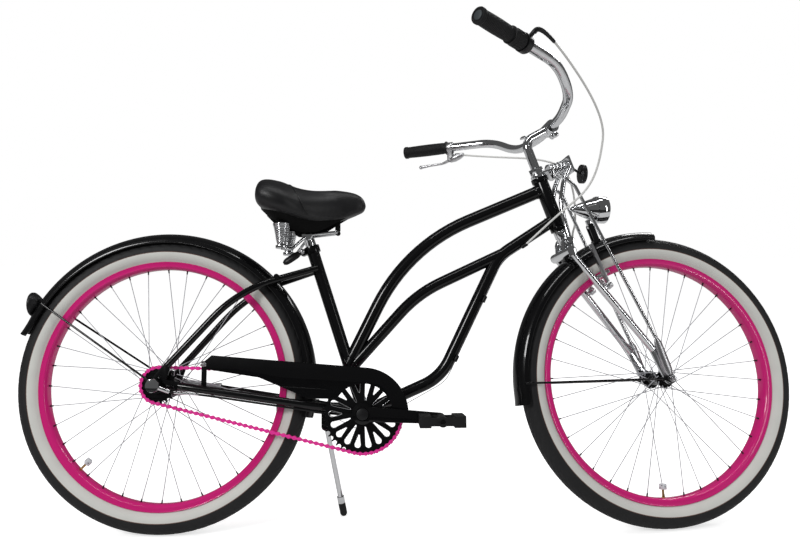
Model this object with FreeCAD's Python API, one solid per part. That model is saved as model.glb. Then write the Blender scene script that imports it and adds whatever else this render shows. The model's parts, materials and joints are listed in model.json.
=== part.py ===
"""Beach cruiser bicycle with a springer fork, standing on its kickstand with the bar turned left.

Everything is drawn upright, in millimetres, with +X forward, +Y to the rider's left and +Z up.
The rear axle is the drawing origin of the frame. The steered pieces are drawn in the fork's own frame,
whose Z is the steering axis and whose origin is the lower end of the head tube.
"""
import FreeCAD
import Part
import math
import os

V = FreeCAD.Vector

# Stance
STEER_ANGLE = 10.2
LEAN_ANGLE = 9.5

# Wheels
RIM_RADIUS = 286.0
TYRE_HEIGHT = 51.0
WHEEL_RADIUS = RIM_RADIUS + TYRE_HEIGHT
TYRE_RADIUS = 27.0
TYRE_WALL = 3.5
RIM_WIDTH = 36.0
RIM_WALL = 2.5
RIM_DEPTH = 17.5
RIM_BASE_WIDTH = 22.0
SPOKES = 36
SPOKE_RADIUS = 1.0
SPOKE_SIDES = 6
SPOKE_CROSSING = 60.0
SPOKE_RIM_STAGGER = 2.3
SPOKE_ELBOW = 0.8
AXLE_RADIUS = 5.0
AXLE_TIP_RADIUS = 4.75
AXLE_TIP_LENGTH = 8.0
AXLE_NUT_FLATS = 15.0
AXLE_NUT_LENGTH = 8.0
SHIFT_ARM = V(36, 0, -13)
FLANGE_THICKNESS = 2.4
REAR_FLANGE_RADIUS = 33.0
REAR_FLANGE_Y = 27.0
REAR_SHELL_RADIUS = 27.0
REAR_SHELL_END = 39.0
REAR_SHELL_END_RADIUS = 22.0
FRONT_FLANGE_RADIUS = 21.0
FRONT_FLANGE_Y = 32.0
FRONT_SHELL_RADIUS = 13.0
FRONT_SHELL_END = 37.0
CONE_RADIUS = 9.0

# Fits
RUNNING = 0.05
SEAT = 0.3

# Steering geometry
WHEELBASE = 1156.0
HEAD_ANGLE = 70.85
FORK_OFFSET = 95.0
CROWN_CLEARANCE = 81.3
FORK_LENGTH = WHEEL_RADIUS + CROWN_CLEARANCE
HEAD_TUBE_LENGTH = 115.0
HEAD_TUBE_RADIUS = 17.5
HEAD_TUBE_WALL = 2.4
STEERER_RADIUS = 12.7
STEERER_WALL = 1.6
CUP_RADIUS = 20.5
CUP_HEIGHT = 11.0

# Drive
PITCH = 12.7
ROLLER_RADIUS = 3.9
RING_TEETH = 44
COG_TEETH = 20
RING_WRAP = 23
COG_WRAP = 9
CHAIN_LINE = 45.0
TOOTH_THICKNESS = 2.6
TOOTH_HEIGHT = 3.6
CHAIN_INNER_WIDTH = 3.4
PLATE_THICKNESS = 1.2
PLATE_HEIGHT = 8.4
BRACKET_DROP = 68.0
BRACKET_GAP = 108.0
BRACKET_WIDTH = 68.0
BRACKET_RADIUS = 21.0
BRACKET_WALL = 3.0
BEARING_WIDTH = 9.0
SPINDLE_RADIUS = 8.5
RING_SLOTS = 18
RING_SLOT_OUTER = 70.0
RING_SLOT_RADIUS = 7.0
RING_SLOT_LONG = 29.0
RING_SLOT_SHORT = 47.0
CRANK_LENGTH = 172.0
CRANK_ANGLE = -3.0
CRANK_INNER_Y = 58.0
CRANK_FLARE = 24.0
CRANK_THICKNESS = 12.0
CRANK_ROOT_RADIUS = 17.0
CRANK_TIP_RADIUS = 12.0
SPIDER_RADIUS = 24.0
PEDAL_AXLE_RADIUS = 5.5
PEDAL_GAP = 5.0
PEDAL_WIDTH = 92.0
PEDAL_LENGTH = 96.0
PEDAL_HEIGHT = 24.0
PEDAL_BARREL_RADIUS = 11.0
PEDAL_TREAD = 24.0
PEDAL_CHEEK = 4.0

# Frame tubes, with bends measured from the bottom bracket or, near the head, from the head tube's lower end
SEAT_ANGLE = 72.4
SEAT_TUBE_LENGTH = 408.0
SEAT_TUBE_RADIUS = 14.3
TUBE_WALL = 1.5
TOP_TUBE_RADIUS = 15.4
TOP_TUBE_FOOT = 115.6
TOP_TUBE_HEAD = 96.0
TOP_TUBE_BEND = V(105.5, 0, 387)
TOP_TUBE_BEND_RADIUS = 427.0
MIDDLE_TUBE_RADIUS = 13.5
MIDDLE_TUBE_FOOT = 104.0
MIDDLE_TUBE_BEND_SHARE = 0.512
MIDDLE_TUBE_BOW = 46.0
MIDDLE_TUBE_RISE = 8.0
MIDDLE_TUBE_BEND_RADIUS = 300.0
DOWN_TUBE_RADIUS = 14.3
DOWN_TUBE_HEAD = 19.0
DOWN_TUBE_UPPER_BEND = V(-146, 0, -71.5)
DOWN_TUBE_UPPER_RADIUS = 114.0
DOWN_TUBE_LOWER_BEND = V(180.6, 0, 78.5)
DOWN_TUBE_LOWER_RADIUS = 122.0
SEAT_STAY_RADIUS = 8.0
SEAT_STAY_BEND = V(180, 54, 214)
SEAT_STAY_BEND_RADIUS = 300.0
SEAT_STAY_DROP = 56.0
SEAT_STAY_START = V(24, 0, 44)
BRIDGE_RADIUS = 6.4
CHAIN_STAY_RADIUS = 9.0
CHAIN_STAY_START = V(50, 0, -2)
CHAIN_STAY_FENDER_LAP = 6.0
CHAIN_STAY_RING_GAP = 87.4
CHAIN_STAY_RING_Y = 31.0
CHAIN_STAY_ROOT_Y = 24.0
STAY_BEND_RADIUS = 55.0
DROPOUT_INNER_Y = 60.0
DROPOUT_THICKNESS = 5.0
DROPOUT_RADIUS = 17.0
COASTER_CLIP_X = 110.0
ARM_PLATE = 3.0
ARM_CLIP = 14.0

# Fenders
FENDER_CLEARANCE = 17.0
FENDER_DEPTH = 24.0
FENDER_RADIUS = WHEEL_RADIUS + FENDER_CLEARANCE
FENDER_EDGE_RADIUS = FENDER_RADIUS - FENDER_DEPTH
FENDER_SHOULDER = 15.0
FENDER_WIDTH = 62.0
FENDER_WALL = 1.2
REAR_FENDER_START = -13.0
REAR_FENDER_END = 160.0
FRONT_FENDER_START = 70.0
FRONT_FENDER_END = 170.0
FENDER_STAY_RADIUS = 2.5
REAR_STAY_ANGLE = 146.0
FENDER_STAY_LAP = 8.0
FRONT_STAY_ANGLE = 162.0
TAIL_LIGHT_ANGLE = 147.5
TAIL_LIGHT_RADIUS = 28.0
TAIL_LIGHT_NECK = 15.0
TAIL_LIGHT_LENGTH = 24.0
TAIL_LENS_DEPTH = 8.0

# Chain guard
GUARD_GAP = 3.5
GUARD_THICKNESS = 1.2
GUARD_LIP = 12.0
GUARD_RADIUS = 103.0
GUARD_OPENING = 67.0
GUARD_FRONT_ANGLE = -5.0
GUARD_OPENING_ANGLE = 150.0
GUARD_TAIL = V(120, 0, 66)
GUARD_TAIL_LOW = V(94, 0, 44)
GUARD_HEEL = V(112, 0, 34)
GUARD_BELLY = V(228, 0, 15)
GUARD_SKIRT = V(-122.4, 0, 35)
GUARD_ARM_DISTANCE = 104.0
GUARD_ARM_RADIUS = 3.0
GUARD_STRAP_X = 104.0
GUARD_STRAP_WIDTH = 12.0

# Seat
POST_RADIUS = 12.7
POST_INSERT = 90.0
CLAMP_HEIGHT = 16.0
CLAMP_WALL = 4.0
LEVER_LENGTH = 52.0
LEVER_FALL = 33.0
SKEWER_RADIUS = 3.0
SADDLE_CLAMP_RISE = 27.0
SADDLE_CLAMP_RADIUS = 12.0
SADDLE_CLAMP_HALF = 22.0
RAIL_RADIUS = 3.5
RAIL_NOSE_Y = 12.0
RAIL_CLAMP_Y = 15.0
RAIL_BEND_RADIUS = 40.0
RAIL_FOOT_RUN = 26.0
RAIL_FOOT_BEND = 20.0
SPRING_SEAT_THICKNESS = 3.0
NOSE_PIN_RADIUS = 3.0
NOSE_LUG_HALF = 7.0
SADDLE_PAN_RISE = 21.4
SADDLE_PAN_THICKNESS = 5.0
SADDLE_SPRING_TOP_RADIUS = 18.0
SADDLE_SPRING_FOOT_RADIUS = 11.5
SADDLE_SPRING_WIRE = 2.2
SADDLE_SPRING_TURNS = 4
SPRING_SIDES = 8
SADDLE_SPRING_HEIGHT = 52.0
SADDLE_SPRING_SETBACK = 53.9
SADDLE_SPRING_Y = 55.0
SADDLE_PIVOT_REACH = 71.1
SADDLE_PIVOT_DROP = 14.0

# Springer fork, in the fork's own frame
PIVOT_Z = -44.0
PIVOT_RADIUS = 6.0
PIVOT_EYE_RADIUS = 11.0
PIVOT_EYE_WIDTH = 28.0
CHEEK_THICKNESS = 8.0
CHEEK_RADIUS = 15.0
CROWN_X = -14.0
CROWN_Z = -68.0
CROWN_RADIUS = 11.0
BLADE_RADIUS = 8.5
BLADE_WALL = 1.6
BLADE_TOP_Y = 41.5
BLADE_FOOT_OFFSET = V(-12, 0, 73.3)
FORK_END_Y = 50.0
FORK_END_THICKNESS = 6.0
FORK_END_RADIUS = 13.0
EYE_THICKNESS = 3.0
YOKE_RADIUS = 6.0
YOKE_PLATE = 5.0
SPRING_Z = 131.0
SPRING_BACK = 33.0
SPRING_LENGTH = 40.0
SPRING_RADIUS = 16.0
SPRING_WIRE = 3.4
SPRING_TURNS = 3
SPRING_BOLT_RADIUS = 4.0
SPRING_BALL_RADIUS = 8.0
TRUSS_RADIUS = 4.0
TRUSS_FOOT_OFFSET = V(2, 0, 20.3)
TRUSS_KNEE_OFFSET = V(2, 0, 88.3)
PERCH_THICKNESS = 4.0
PERCH_Z = 133.0
PERCH_HALF = 16.0
LOCK_NUT_FLATS = 32.0
STEERER_TOP = 150.0
CROWN_RACE_RADIUS = 16.0
PIVOT_NUT_FLATS = 16.0
YOKE_Y = 28.6

# Cockpit, in the fork's own frame
BAR_RADIUS = 11.1
BAR_WALL = 2.0
BAR_X = 74.0
BAR_Z = 236.0
BAR_KNEE = V(0, 71, 0)
BAR_SHOULDER = V(-20, 181, 12)
BAR_ELBOW = V(-51, 236, 69)
BAR_END = V(-249, 380, 150)
BAR_KNEE_RADIUS = 300.0
BAR_SHOULDER_RADIUS = 110.0
BAR_ELBOW_RADIUS = 140.0
STEM_TOP = 222.0
STEM_BEND_RADIUS = 26.0
STEM_INSERT = 70.0
STEM_CLAMP_RADIUS = 16.5
STEM_CLAMP_WIDTH = 40.0
GRIP_RADIUS = 16.0
GRIP_FLANGE_RADIUS = 18.5
GRIP_LENGTH = 125.0
SHORT_GRIP_LENGTH = 96.0
TWIST_LENGTH = 34.0
TWIST_RADIUS = 18.0
SHIFTER_LENGTH = 20.0
SHIFTER_RADIUS = 20.0
LEVER_CLAMP_WIDTH = 15.0
LEVER_DROP = 34.0
LEVER_REACH = 92.0
LEVER_UP = V(0.254, -0.185, 0.949)
LEVER_EYE_HALF = 4.0
LEVER_PIN_RADIUS = 2.5
LEVER_CABLE_Z = -22.0
LEVER_BARREL = 14.0
SHIFTER_OUTLET = 32.0
GRIP_FLANGE = 4.0

# Front brake
BRAKE_FORWARD = 20.0
BRAKE_PAD_ARM = 27.0
BRAKE_ARM_LENGTH = 104.0
BRAKE_BOSS_RADIUS = 5.0
BRAKE_PAD_GAP = 1.9
BRAKE_PAD_THICKNESS = 9.0
BRAKE_PAD_LENGTH = 52.0
BRAKE_PAD_HEIGHT = 9.0
BRAKE_ARM_TILT = 3.0
BRAKE_HUB = 11.0

# Lights at the front
LAMP_RADIUS = 31.0
LAMP_LENGTH = 88.0
LAMP_TAIL_RADIUS = 7.0
LAMP_X = 89.0
LAMP_Z = 16.0
LAMP_WALL = 2.0
LAMP_TILT_DROP = 41.0
REFLECTOR_RADIUS = 23.0
REFLECTOR_THICKNESS = 9.0
REFLECTOR_X = 106.0
REFLECTOR_Z = 105.0
LENS_DEPTH = 7.0
LAMP_EYE_HALF = 4.0
LAMP_EYE_RADIUS = 7.0
LAMP_PIN_RADIUS = 3.0

# Cables
CABLE_RADIUS = 2.4
DOWN_TUBE_CABLE = 13.0
BRACKET_CABLE_DROP = 16.0

# Kickstand, from the bottom bracket
STAND_TOP = V(-90.4, 38, -34)
STAND_FOOT_SETBACK = 54.4
STAND_FOOT_Y = 97.0
STAND_RADIUS = 6.0
STAND_RUBBER_RADIUS = 8.5
STAND_RUBBER_LENGTH = 26.0
STAND_EYE_RADIUS = 10.0
STAND_EYE_HALF = 7.0
STAND_LUG = 12.0


# Derived places

def cosine(angle):
    """Cosine of an angle in degrees."""
    return math.cos(math.radians(angle))


def sine(angle):
    """Sine of an angle in degrees."""
    return math.sin(math.radians(angle))


def pitch_radius(teeth):
    """Radius of the circle that the chain's rollers lie on."""
    return PITCH / (2 * sine(180.0 / teeth))


def chain_centres(links):
    """Distance between the ring's and the cog's centres that fits a chain exactly."""
    half_ring = RING_WRAP * 180.0 / RING_TEETH
    half_cog = COG_WRAP * 180.0 / COG_TEETH
    run = PITCH * (links - RING_WRAP - COG_WRAP) / 2
    rise = pitch_radius(RING_TEETH) * sine(half_ring) - pitch_radius(COG_TEETH) * sine(half_cog)
    along = math.sqrt(run ** 2 - rise ** 2)
    return along - pitch_radius(RING_TEETH) * cosine(half_ring) - pitch_radius(COG_TEETH) * cosine(half_cog)


def chain_links():
    """Least even number of links that keeps the bottom bracket clear of the rear fender."""
    links = RING_TEETH + COG_TEETH
    while chain_centres(links) < FENDER_RADIUS + BRACKET_GAP:
        links += 2
    return links


CHAIN_LINKS = chain_links()
BRACKET_X = math.sqrt(chain_centres(CHAIN_LINKS) ** 2 - BRACKET_DROP ** 2)
BRACKET = V(BRACKET_X, 0, -BRACKET_DROP)
HEAD_X = WHEELBASE - FORK_OFFSET * sine(HEAD_ANGLE) - FORK_LENGTH * cosine(HEAD_ANGLE)
HEAD_Z = FORK_LENGTH * sine(HEAD_ANGLE) - FORK_OFFSET * cosine(HEAD_ANGLE)
FORK_FRAME = FreeCAD.Placement(V(HEAD_X, 0, HEAD_Z), FreeCAD.Rotation(V(0, 1, 0), HEAD_ANGLE - 90))
STEER = FreeCAD.Placement(V(0, 0, 0), FreeCAD.Rotation(V(0, 0, 1), STEER_ANGLE))
FORK_AXLE = V(FORK_OFFSET, 0, -FORK_LENGTH)
BLADE_FOOT = FORK_AXLE + BLADE_FOOT_OFFSET
PIVOT = V(0, 0, PIVOT_Z)
BAR_CENTRE = V(BAR_X, 0, BAR_Z)
PLATE_HALF_INNER = CHAIN_INNER_WIDTH / 2
GUARD_Y = CHAIN_LINE + PLATE_HALF_INNER + 2 * PLATE_THICKNESS + GUARD_GAP


def seat_point(distance, forward=0.0):
    """A point along the seat tube's axis from the bottom bracket."""
    up = V(-cosine(SEAT_ANGLE), 0, sine(SEAT_ANGLE))
    ahead = V(sine(SEAT_ANGLE), 0, cosine(SEAT_ANGLE))
    return BRACKET + up * distance + ahead * forward


SADDLE_CLAMP = seat_point(SEAT_TUBE_LENGTH + SADDLE_CLAMP_RISE)
SADDLE_PAN_Z = SADDLE_CLAMP.z + SADDLE_PAN_RISE
SADDLE_SPRING_X = SADDLE_CLAMP.x - SADDLE_SPRING_SETBACK
SADDLE_PIVOT = V(SADDLE_CLAMP.x + SADDLE_PIVOT_REACH, 0, SADDLE_PAN_Z - SADDLE_PIVOT_DROP)


def head_point(height):
    """A point on the steering axis, measured up from the head tube's lower end."""
    return FORK_FRAME.multVec(V(0, 0, height))


def mirrored(point):
    """The same point on the other side of the bicycle."""
    return V(point.x, -point.y, point.z)


# Making solids

def fuse(solids):
    """One solid out of several that meet."""
    whole = solids[0].multiFuse(solids[1:])
    return whole.removeSplitter()


def largest(shape):
    """The largest solid of a cut shape."""
    return max(shape.Solids, key=lambda solid: solid.Volume)


def rod(start, end, radius):
    """A round bar between two points."""
    axis = end - start
    return Part.makeCylinder(radius, axis.Length, start, axis)


def cross_rod(x, z, radius, y_low, y_high):
    """A round bar across the bicycle."""
    return Part.makeCylinder(radius, y_high - y_low, V(x, y_low, z), V(0, 1, 0))


def upright_rod(radius, z_low, z_high):
    """A round bar on the fork's own axis."""
    return Part.makeCylinder(radius, z_high - z_low, V(0, 0, z_low))


def hexagon_nut(centre, axis, flats, length):
    """A six-sided nut with its near face at a point."""
    turn = FreeCAD.Rotation(V(0, 0, 1), axis)
    corners = [V(flats / math.sqrt(3) * cosine(60 * i), flats / math.sqrt(3) * sine(60 * i), 0) for i in range(7)]
    face = Part.Face(Part.makePolygon(corners))
    nut = face.extrude(V(0, 0, length))
    nut.Placement = FreeCAD.Placement(centre, turn)
    return nut


def bent_wire(points, radii):
    """Straight runs joined by tangent arcs, one radius for each inner point."""
    edges = []
    start = points[0]
    for index, radius in enumerate(radii):
        corner = points[index + 1]
        back = (points[index] - corner).normalize()
        ahead = (points[index + 2] - corner).normalize()
        half = back.getAngle(ahead) / 2
        reach = radius / math.tan(half)
        inward = (back + ahead).normalize()
        middle = corner + inward * (radius / math.sin(half) - radius)
        arc_start = corner + back * reach
        arc_end = corner + ahead * reach
        if (arc_start - start).Length > 1e-6:
            edges.append(Part.LineSegment(start, arc_start).toShape())
        edges.append(Part.Arc(arc_start, middle, arc_end).toShape())
        start = arc_end
    if (points[-1] - start).Length > 1e-6:
        edges.append(Part.LineSegment(start, points[-1]).toShape())
    return Part.Wire(edges)


def sweep_circle(path, radius, sides=0):
    """A bar along a wire, round or with a number of flat sides."""
    first = path.OrderedEdges[0]
    start = path.OrderedVertexes[0].Point
    direction = first.tangentAt(first.parameterAt(path.OrderedVertexes[0]))
    profile = Part.Wire(Part.makeCircle(radius, start, direction))
    if sides:
        corners = [V(radius * cosine(i * 360.0 / sides), radius * sine(i * 360.0 / sides), 0) for i in range(sides)]
        profile = Part.makePolygon(corners + corners[:1])
        profile.Placement = FreeCAD.Placement(start, FreeCAD.Rotation(V(0, 0, 1), direction))
    shell = Part.BRepOffsetAPI.MakePipeShell(path)
    shell.add(profile)
    shell.build()
    shell.makeSolid()
    bar = Part.Solid(shell.shape())
    if bar.Volume < 0:
        bar.reverse()
    return bar


def bent_rod(points, radii, radius):
    """A bent round bar."""
    return sweep_circle(bent_wire(points, radii), radius)


def bent_tube(points, radii, radius, wall):
    """A bent round tube."""
    path = bent_wire(points, radii)
    return sweep_circle(path, radius).cut(sweep_circle(path, radius - wall))


def filled_face(edges):
    """A flat face inside a closed run of edges."""
    return Part.Face(Part.Wire(edges))


def polyline(points):
    """Straight edges through points."""
    return [Part.LineSegment(a, b).toShape() for a, b in zip(points, points[1:])]


def side_plate(points, y, thickness):
    """A flat plate in the bicycle's plane from its corners."""
    corners = [V(point.x, y, point.z) for point in points]
    face = Part.Face(Part.makePolygon(corners + corners[:1]))
    return face.extrude(V(0, thickness, 0))


def link_face(centre_a, radius_a, centre_b, radius_b):
    """The face of a bar whose round ends have two radii, in the bicycle's plane."""
    along = centre_b - centre_a
    gap = along.Length
    heading = math.degrees(math.atan2(along.z, along.x))
    lean = math.degrees(math.acos((radius_a - radius_b) / gap))

    def rim(centre, radius, angle):
        return centre + V(radius * cosine(heading + angle), 0, radius * sine(heading + angle))

    edges = [
        Part.Arc(rim(centre_a, radius_a, lean), rim(centre_a, radius_a, 180), rim(centre_a, radius_a, -lean)).toShape(),
        Part.LineSegment(rim(centre_a, radius_a, -lean), rim(centre_b, radius_b, -lean)).toShape(),
        Part.Arc(rim(centre_b, radius_b, -lean), rim(centre_b, radius_b, 0), rim(centre_b, radius_b, lean)).toShape(),
        Part.LineSegment(rim(centre_b, radius_b, lean), rim(centre_a, radius_a, lean)).toShape(),
    ]
    return filled_face(edges)


def turned(outline):
    """A ring turned about the Y axis from its half section of (radius, y) points."""
    points = [V(radius, y, 0) for radius, y in outline]
    face = Part.Face(Part.makePolygon(points + points[:1]))
    return face.revolve(V(0, 0, 0), V(0, 1, 0), 360)


# Springs

def arc_from_tangent(start, tangent, end):
    """The circular arc that leaves a point along a tangent and ends at another point."""
    chord = end - start
    half = tangent.getAngle(chord)
    along = V(chord).normalize()
    side = (tangent - along * tangent.dot(along)).normalize()
    middle = start + chord * 0.5 + side * (chord.Length / 2 * math.tan(half / 2))
    return Part.Arc(start, middle, end).toShape()


def biarc(start, tangent_a, end, tangent_b):
    """Two arcs that join two points and keep both tangents."""
    chord = end - start
    total = tangent_a + tangent_b
    spread = 2 * (1 - tangent_a.dot(tangent_b))
    along = chord.dot(total)
    reach = (-along + math.sqrt(along ** 2 + spread * chord.dot(chord))) / spread
    joint = (start + tangent_a * reach + end - tangent_b * reach) * 0.5
    first = arc_from_tangent(start, tangent_a, joint)
    second = arc_from_tangent(end, tangent_b * -1, joint)
    return [first, second]


def coil_spring(radius_start, radius_end, length, turns, wire):
    """A coil about the Z axis from z = 0, with straight ends of one wire diameter. Prints its least gap."""
    steps = 4 * turns
    clear = length - 2 * wire
    dip = 2 * wire * clear / (2 * math.pi * turns * min(radius_start, radius_end)) + RUNNING
    rise = clear - 2 * dip

    def place(step):
        share = step / steps
        radius = radius_start + (radius_end - radius_start) * share
        return V(radius * cosine(90 * step), radius * sine(90 * step), wire + dip + rise * share)

    def heading(step):
        share = step / steps
        radius = radius_start + (radius_end - radius_start) * share
        growth = (radius_end - radius_start) / steps
        around = math.pi / 2 * radius
        direction = V(-sine(90 * step), cosine(90 * step), 0) * around
        direction = direction + V(cosine(90 * step), sine(90 * step), 0) * growth + V(0, 0, rise / steps)
        return direction.normalize()

    edges = [Part.LineSegment(place(0) - heading(0) * (2 * wire), place(0)).toShape()]
    for step in range(steps):
        edges.extend(biarc(place(step), heading(step), place(step + 1), heading(step + 1)))
    edges.append(Part.LineSegment(place(steps), place(steps) + heading(steps) * (2 * wire)).toShape())
    gap = min((place(step + 4) - place(step)).Length for step in range(steps - 3)) - 2 * wire
    print("spring least gap to itself", round(gap, 2))
    return sweep_circle(Part.Wire(edges), wire, SPRING_SIDES)


# Wheels, drawn about the Y axis at the origin

def tyre():
    """Balloon tyre with its two beads inside the rim."""
    ring = WHEEL_RADIUS - TYRE_RADIUS
    inner = TYRE_RADIUS - TYRE_WALL
    bead = RIM_WIDTH / 2 - RIM_WALL - SEAT
    bead_inner = bead - TYRE_WALL
    foot = RIM_RADIUS - RIM_DEPTH / 2
    lean = -math.degrees(math.asin((ring - RIM_RADIUS - 2 * SEAT - TYRE_WALL) / TYRE_RADIUS))

    def rim(radius, angle):
        return V(ring + radius * sine(angle), radius * cosine(angle), 0)

    def arcs(radius, first, last):
        middle = (first + last) / 2
        quarter = (first + middle) / 2
        third = (middle + last) / 2
        low = Part.Arc(rim(radius, first), rim(radius, quarter), rim(radius, middle)).toShape()
        high = Part.Arc(rim(radius, middle), rim(radius, third), rim(radius, last)).toShape()
        return [low, high]

    left = [V(foot, bead_inner, 0), V(foot, bead, 0), V(RIM_RADIUS + SEAT, bead, 0), rim(TYRE_RADIUS, lean)]
    right = [rim(TYRE_RADIUS, 180 - lean), V(RIM_RADIUS + SEAT, -bead, 0), V(foot, -bead, 0), V(foot, -bead_inner, 0)]
    back = [V(foot, -bead_inner, 0), V(RIM_RADIUS + SEAT, -bead_inner, 0), rim(inner, 180 - lean)]
    front = [rim(inner, lean), V(RIM_RADIUS + SEAT, bead_inner, 0), V(foot, bead_inner, 0)]
    edges = polyline(left) + arcs(TYRE_RADIUS, lean, 180 - lean) + polyline(right)
    count = 6
    hollow = [rim(inner, 180 - lean + (2 * lean - 180) * i / count) for i in range(count + 1)]
    edges = edges + polyline(back) + polyline(hollow) + polyline(front)
    return filled_face(edges).revolve(V(0, 0, 0), V(0, 1, 0), 360)


def rim():
    """Single-wall rim of one channel section."""
    half = RIM_WIDTH / 2
    base = RIM_BASE_WIDTH / 2
    low = RIM_RADIUS - RIM_DEPTH
    knee = low + RIM_WALL * 2
    outline = [
        (RIM_RADIUS, half), (knee, half), (low, base), (low, -base), (knee, -half), (RIM_RADIUS, -half),
        (RIM_RADIUS, RIM_WALL - half), (knee + RIM_WALL / 2, RIM_WALL - half), (low + RIM_WALL, RIM_WALL / 2 - base),
        (low + RIM_WALL, base - RIM_WALL / 2), (knee + RIM_WALL / 2, half - RIM_WALL), (RIM_RADIUS, half - RIM_WALL),
    ]
    return turned(outline)


def spoke_set(flange_radius, flange_y):
    """Tangent-laced spokes, half of them on each flange."""
    beside = FLANGE_THICKNESS / 2 + SPOKE_RADIUS + RUNNING
    rim_radius = RIM_RADIUS - RIM_DEPTH - SEAT / 2
    hole_radius = flange_radius - 3 * SPOKE_RADIUS
    spokes = []
    for index in range(SPOKES):
        angle = index * 360.0 / SPOKES
        side = 1 if index % 2 else -1
        lead = 1 if index % 4 < 2 else -1
        elbow = SPOKE_ELBOW if lead > 0 else 0
        hub_y = side * (flange_y + lead * beside + elbow)
        rim_y = side * (SPOKE_RIM_STAGGER + lead * (SPOKE_RADIUS + SEAT))
        hub_angle = angle - lead * SPOKE_CROSSING
        start = V(hole_radius * cosine(hub_angle), hub_y, hole_radius * sine(hub_angle))
        end = V(rim_radius * cosine(angle), rim_y, rim_radius * sine(angle))
        spokes.append(spoke(start, end))
    return Part.makeCompound(spokes)


def spoke(start, end):
    """One straight spoke with flat sides."""
    turn = FreeCAD.Rotation(V(0, 0, 1), end - start)
    step = 360.0 / SPOKE_SIDES
    ring = [V(SPOKE_RADIUS * cosine(step * i), SPOKE_RADIUS * sine(step * i), 0) for i in range(SPOKE_SIDES + 1)]
    bar = Part.Face(Part.makePolygon(ring)).extrude(V(0, 0, (end - start).Length))
    bar.Placement = FreeCAD.Placement(start, turn)
    return bar


def hub_shell(flange_radius, flange_y, shell_radius, end_y, end_radius, end_right):
    """Hub shell with two flanges, bored for its axle."""
    bore = AXLE_RADIUS + RUNNING
    half = FLANGE_THICKNESS / 2
    outline = [(bore, end_y), (end_radius, end_y), (shell_radius, flange_y + half), (flange_radius, flange_y + half)]
    outline += [(flange_radius, flange_y - half), (shell_radius, flange_y - half)]
    outline += [(shell_radius, half - flange_y), (flange_radius, half - flange_y), (flange_radius, -flange_y - half)]
    outline += [(shell_radius, -flange_y - half), (end_radius, -end_right), (bore, -end_right)]
    return turned(outline)


def rear_hub():
    return hub_shell(REAR_FLANGE_RADIUS, REAR_FLANGE_Y, REAR_SHELL_RADIUS, REAR_SHELL_END,
                     REAR_SHELL_END_RADIUS, REAR_SHELL_END - 4)


def front_hub():
    return hub_shell(FRONT_FLANGE_RADIUS, FRONT_FLANGE_Y, FRONT_SHELL_RADIUS, FRONT_SHELL_END,
                     FRONT_SHELL_RADIUS, FRONT_SHELL_END)


def axle_tips(y, sides):
    """Turned-down ends of an axle past its nuts, which a stay's eye or a peg fits on."""
    return [rod(V(0, side * y, 0), V(0, side * (y + AXLE_TIP_LENGTH), 0), AXLE_TIP_RADIUS) for side in sides]


def rear_outer():
    """Distance of the rear axle nuts' seats from the bicycle's plane."""
    return DROPOUT_INNER_Y + DROPOUT_THICKNESS + EYE_THICKNESS + 2 * RUNNING


def front_outer():
    """Distance of the front axle nuts' seats from the bicycle's plane."""
    return FORK_END_Y + FORK_END_THICKNESS + 2 * EYE_THICKNESS + 3 * RUNNING


def rear_axle():
    """Fixed rear axle with its cones, two nuts and the shift box at its right end."""
    outer = rear_outer()
    left_cone = cross_rod(0, 0, CONE_RADIUS, REAR_SHELL_END + SEAT, DROPOUT_INNER_Y)
    right_cone = cross_rod(0, 0, CONE_RADIUS, -DROPOUT_INNER_Y, -(CHAIN_LINE + TOOTH_THICKNESS / 2 + SEAT))
    shaft = cross_rod(0, 0, AXLE_RADIUS, -outer - AXLE_NUT_LENGTH, outer + AXLE_NUT_LENGTH)
    axle = fuse([shaft, left_cone, right_cone] + axle_tips(outer + AXLE_NUT_LENGTH, [1]))
    left_nut = hexagon_nut(V(0, outer, 0), V(0, 1, 0), AXLE_NUT_FLATS, AXLE_NUT_LENGTH)
    right_nut = hexagon_nut(V(0, -outer, 0), V(0, -1, 0), AXLE_NUT_FLATS, AXLE_NUT_LENGTH)
    box = cross_rod(0, 0, AXLE_NUT_FLATS, -outer - 3 * AXLE_NUT_LENGTH, -outer - AXLE_NUT_LENGTH)
    arm = rod(V(0, -outer - 2 * AXLE_NUT_LENGTH, 0), SHIFT_ARM - V(0, outer + 2 * AXLE_NUT_LENGTH, 0), AXLE_RADIUS)
    box = fuse([box, arm])
    return Part.makeCompound([axle, left_nut.cut(axle), right_nut.cut(axle), box])


def front_axle():
    """Fixed front axle with its cones and two nuts."""
    outer = front_outer()
    left_cone = cross_rod(0, 0, CONE_RADIUS, FRONT_SHELL_END + SEAT, FORK_END_Y)
    right_cone = cross_rod(0, 0, CONE_RADIUS, -FORK_END_Y, -FRONT_SHELL_END - SEAT)
    shaft = cross_rod(0, 0, AXLE_RADIUS, -outer - AXLE_NUT_LENGTH, outer + AXLE_NUT_LENGTH)
    axle = fuse([shaft, left_cone, right_cone] + axle_tips(outer + AXLE_NUT_LENGTH, [-1, 1]))
    left_nut = hexagon_nut(V(0, outer, 0), V(0, 1, 0), AXLE_NUT_FLATS, AXLE_NUT_LENGTH)
    right_nut = hexagon_nut(V(0, -outer, 0), V(0, -1, 0), AXLE_NUT_FLATS, AXLE_NUT_LENGTH)
    return Part.makeCompound([axle, left_nut.cut(axle), right_nut.cut(axle)])


# Drive, drawn about the Y axis at the origin

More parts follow.
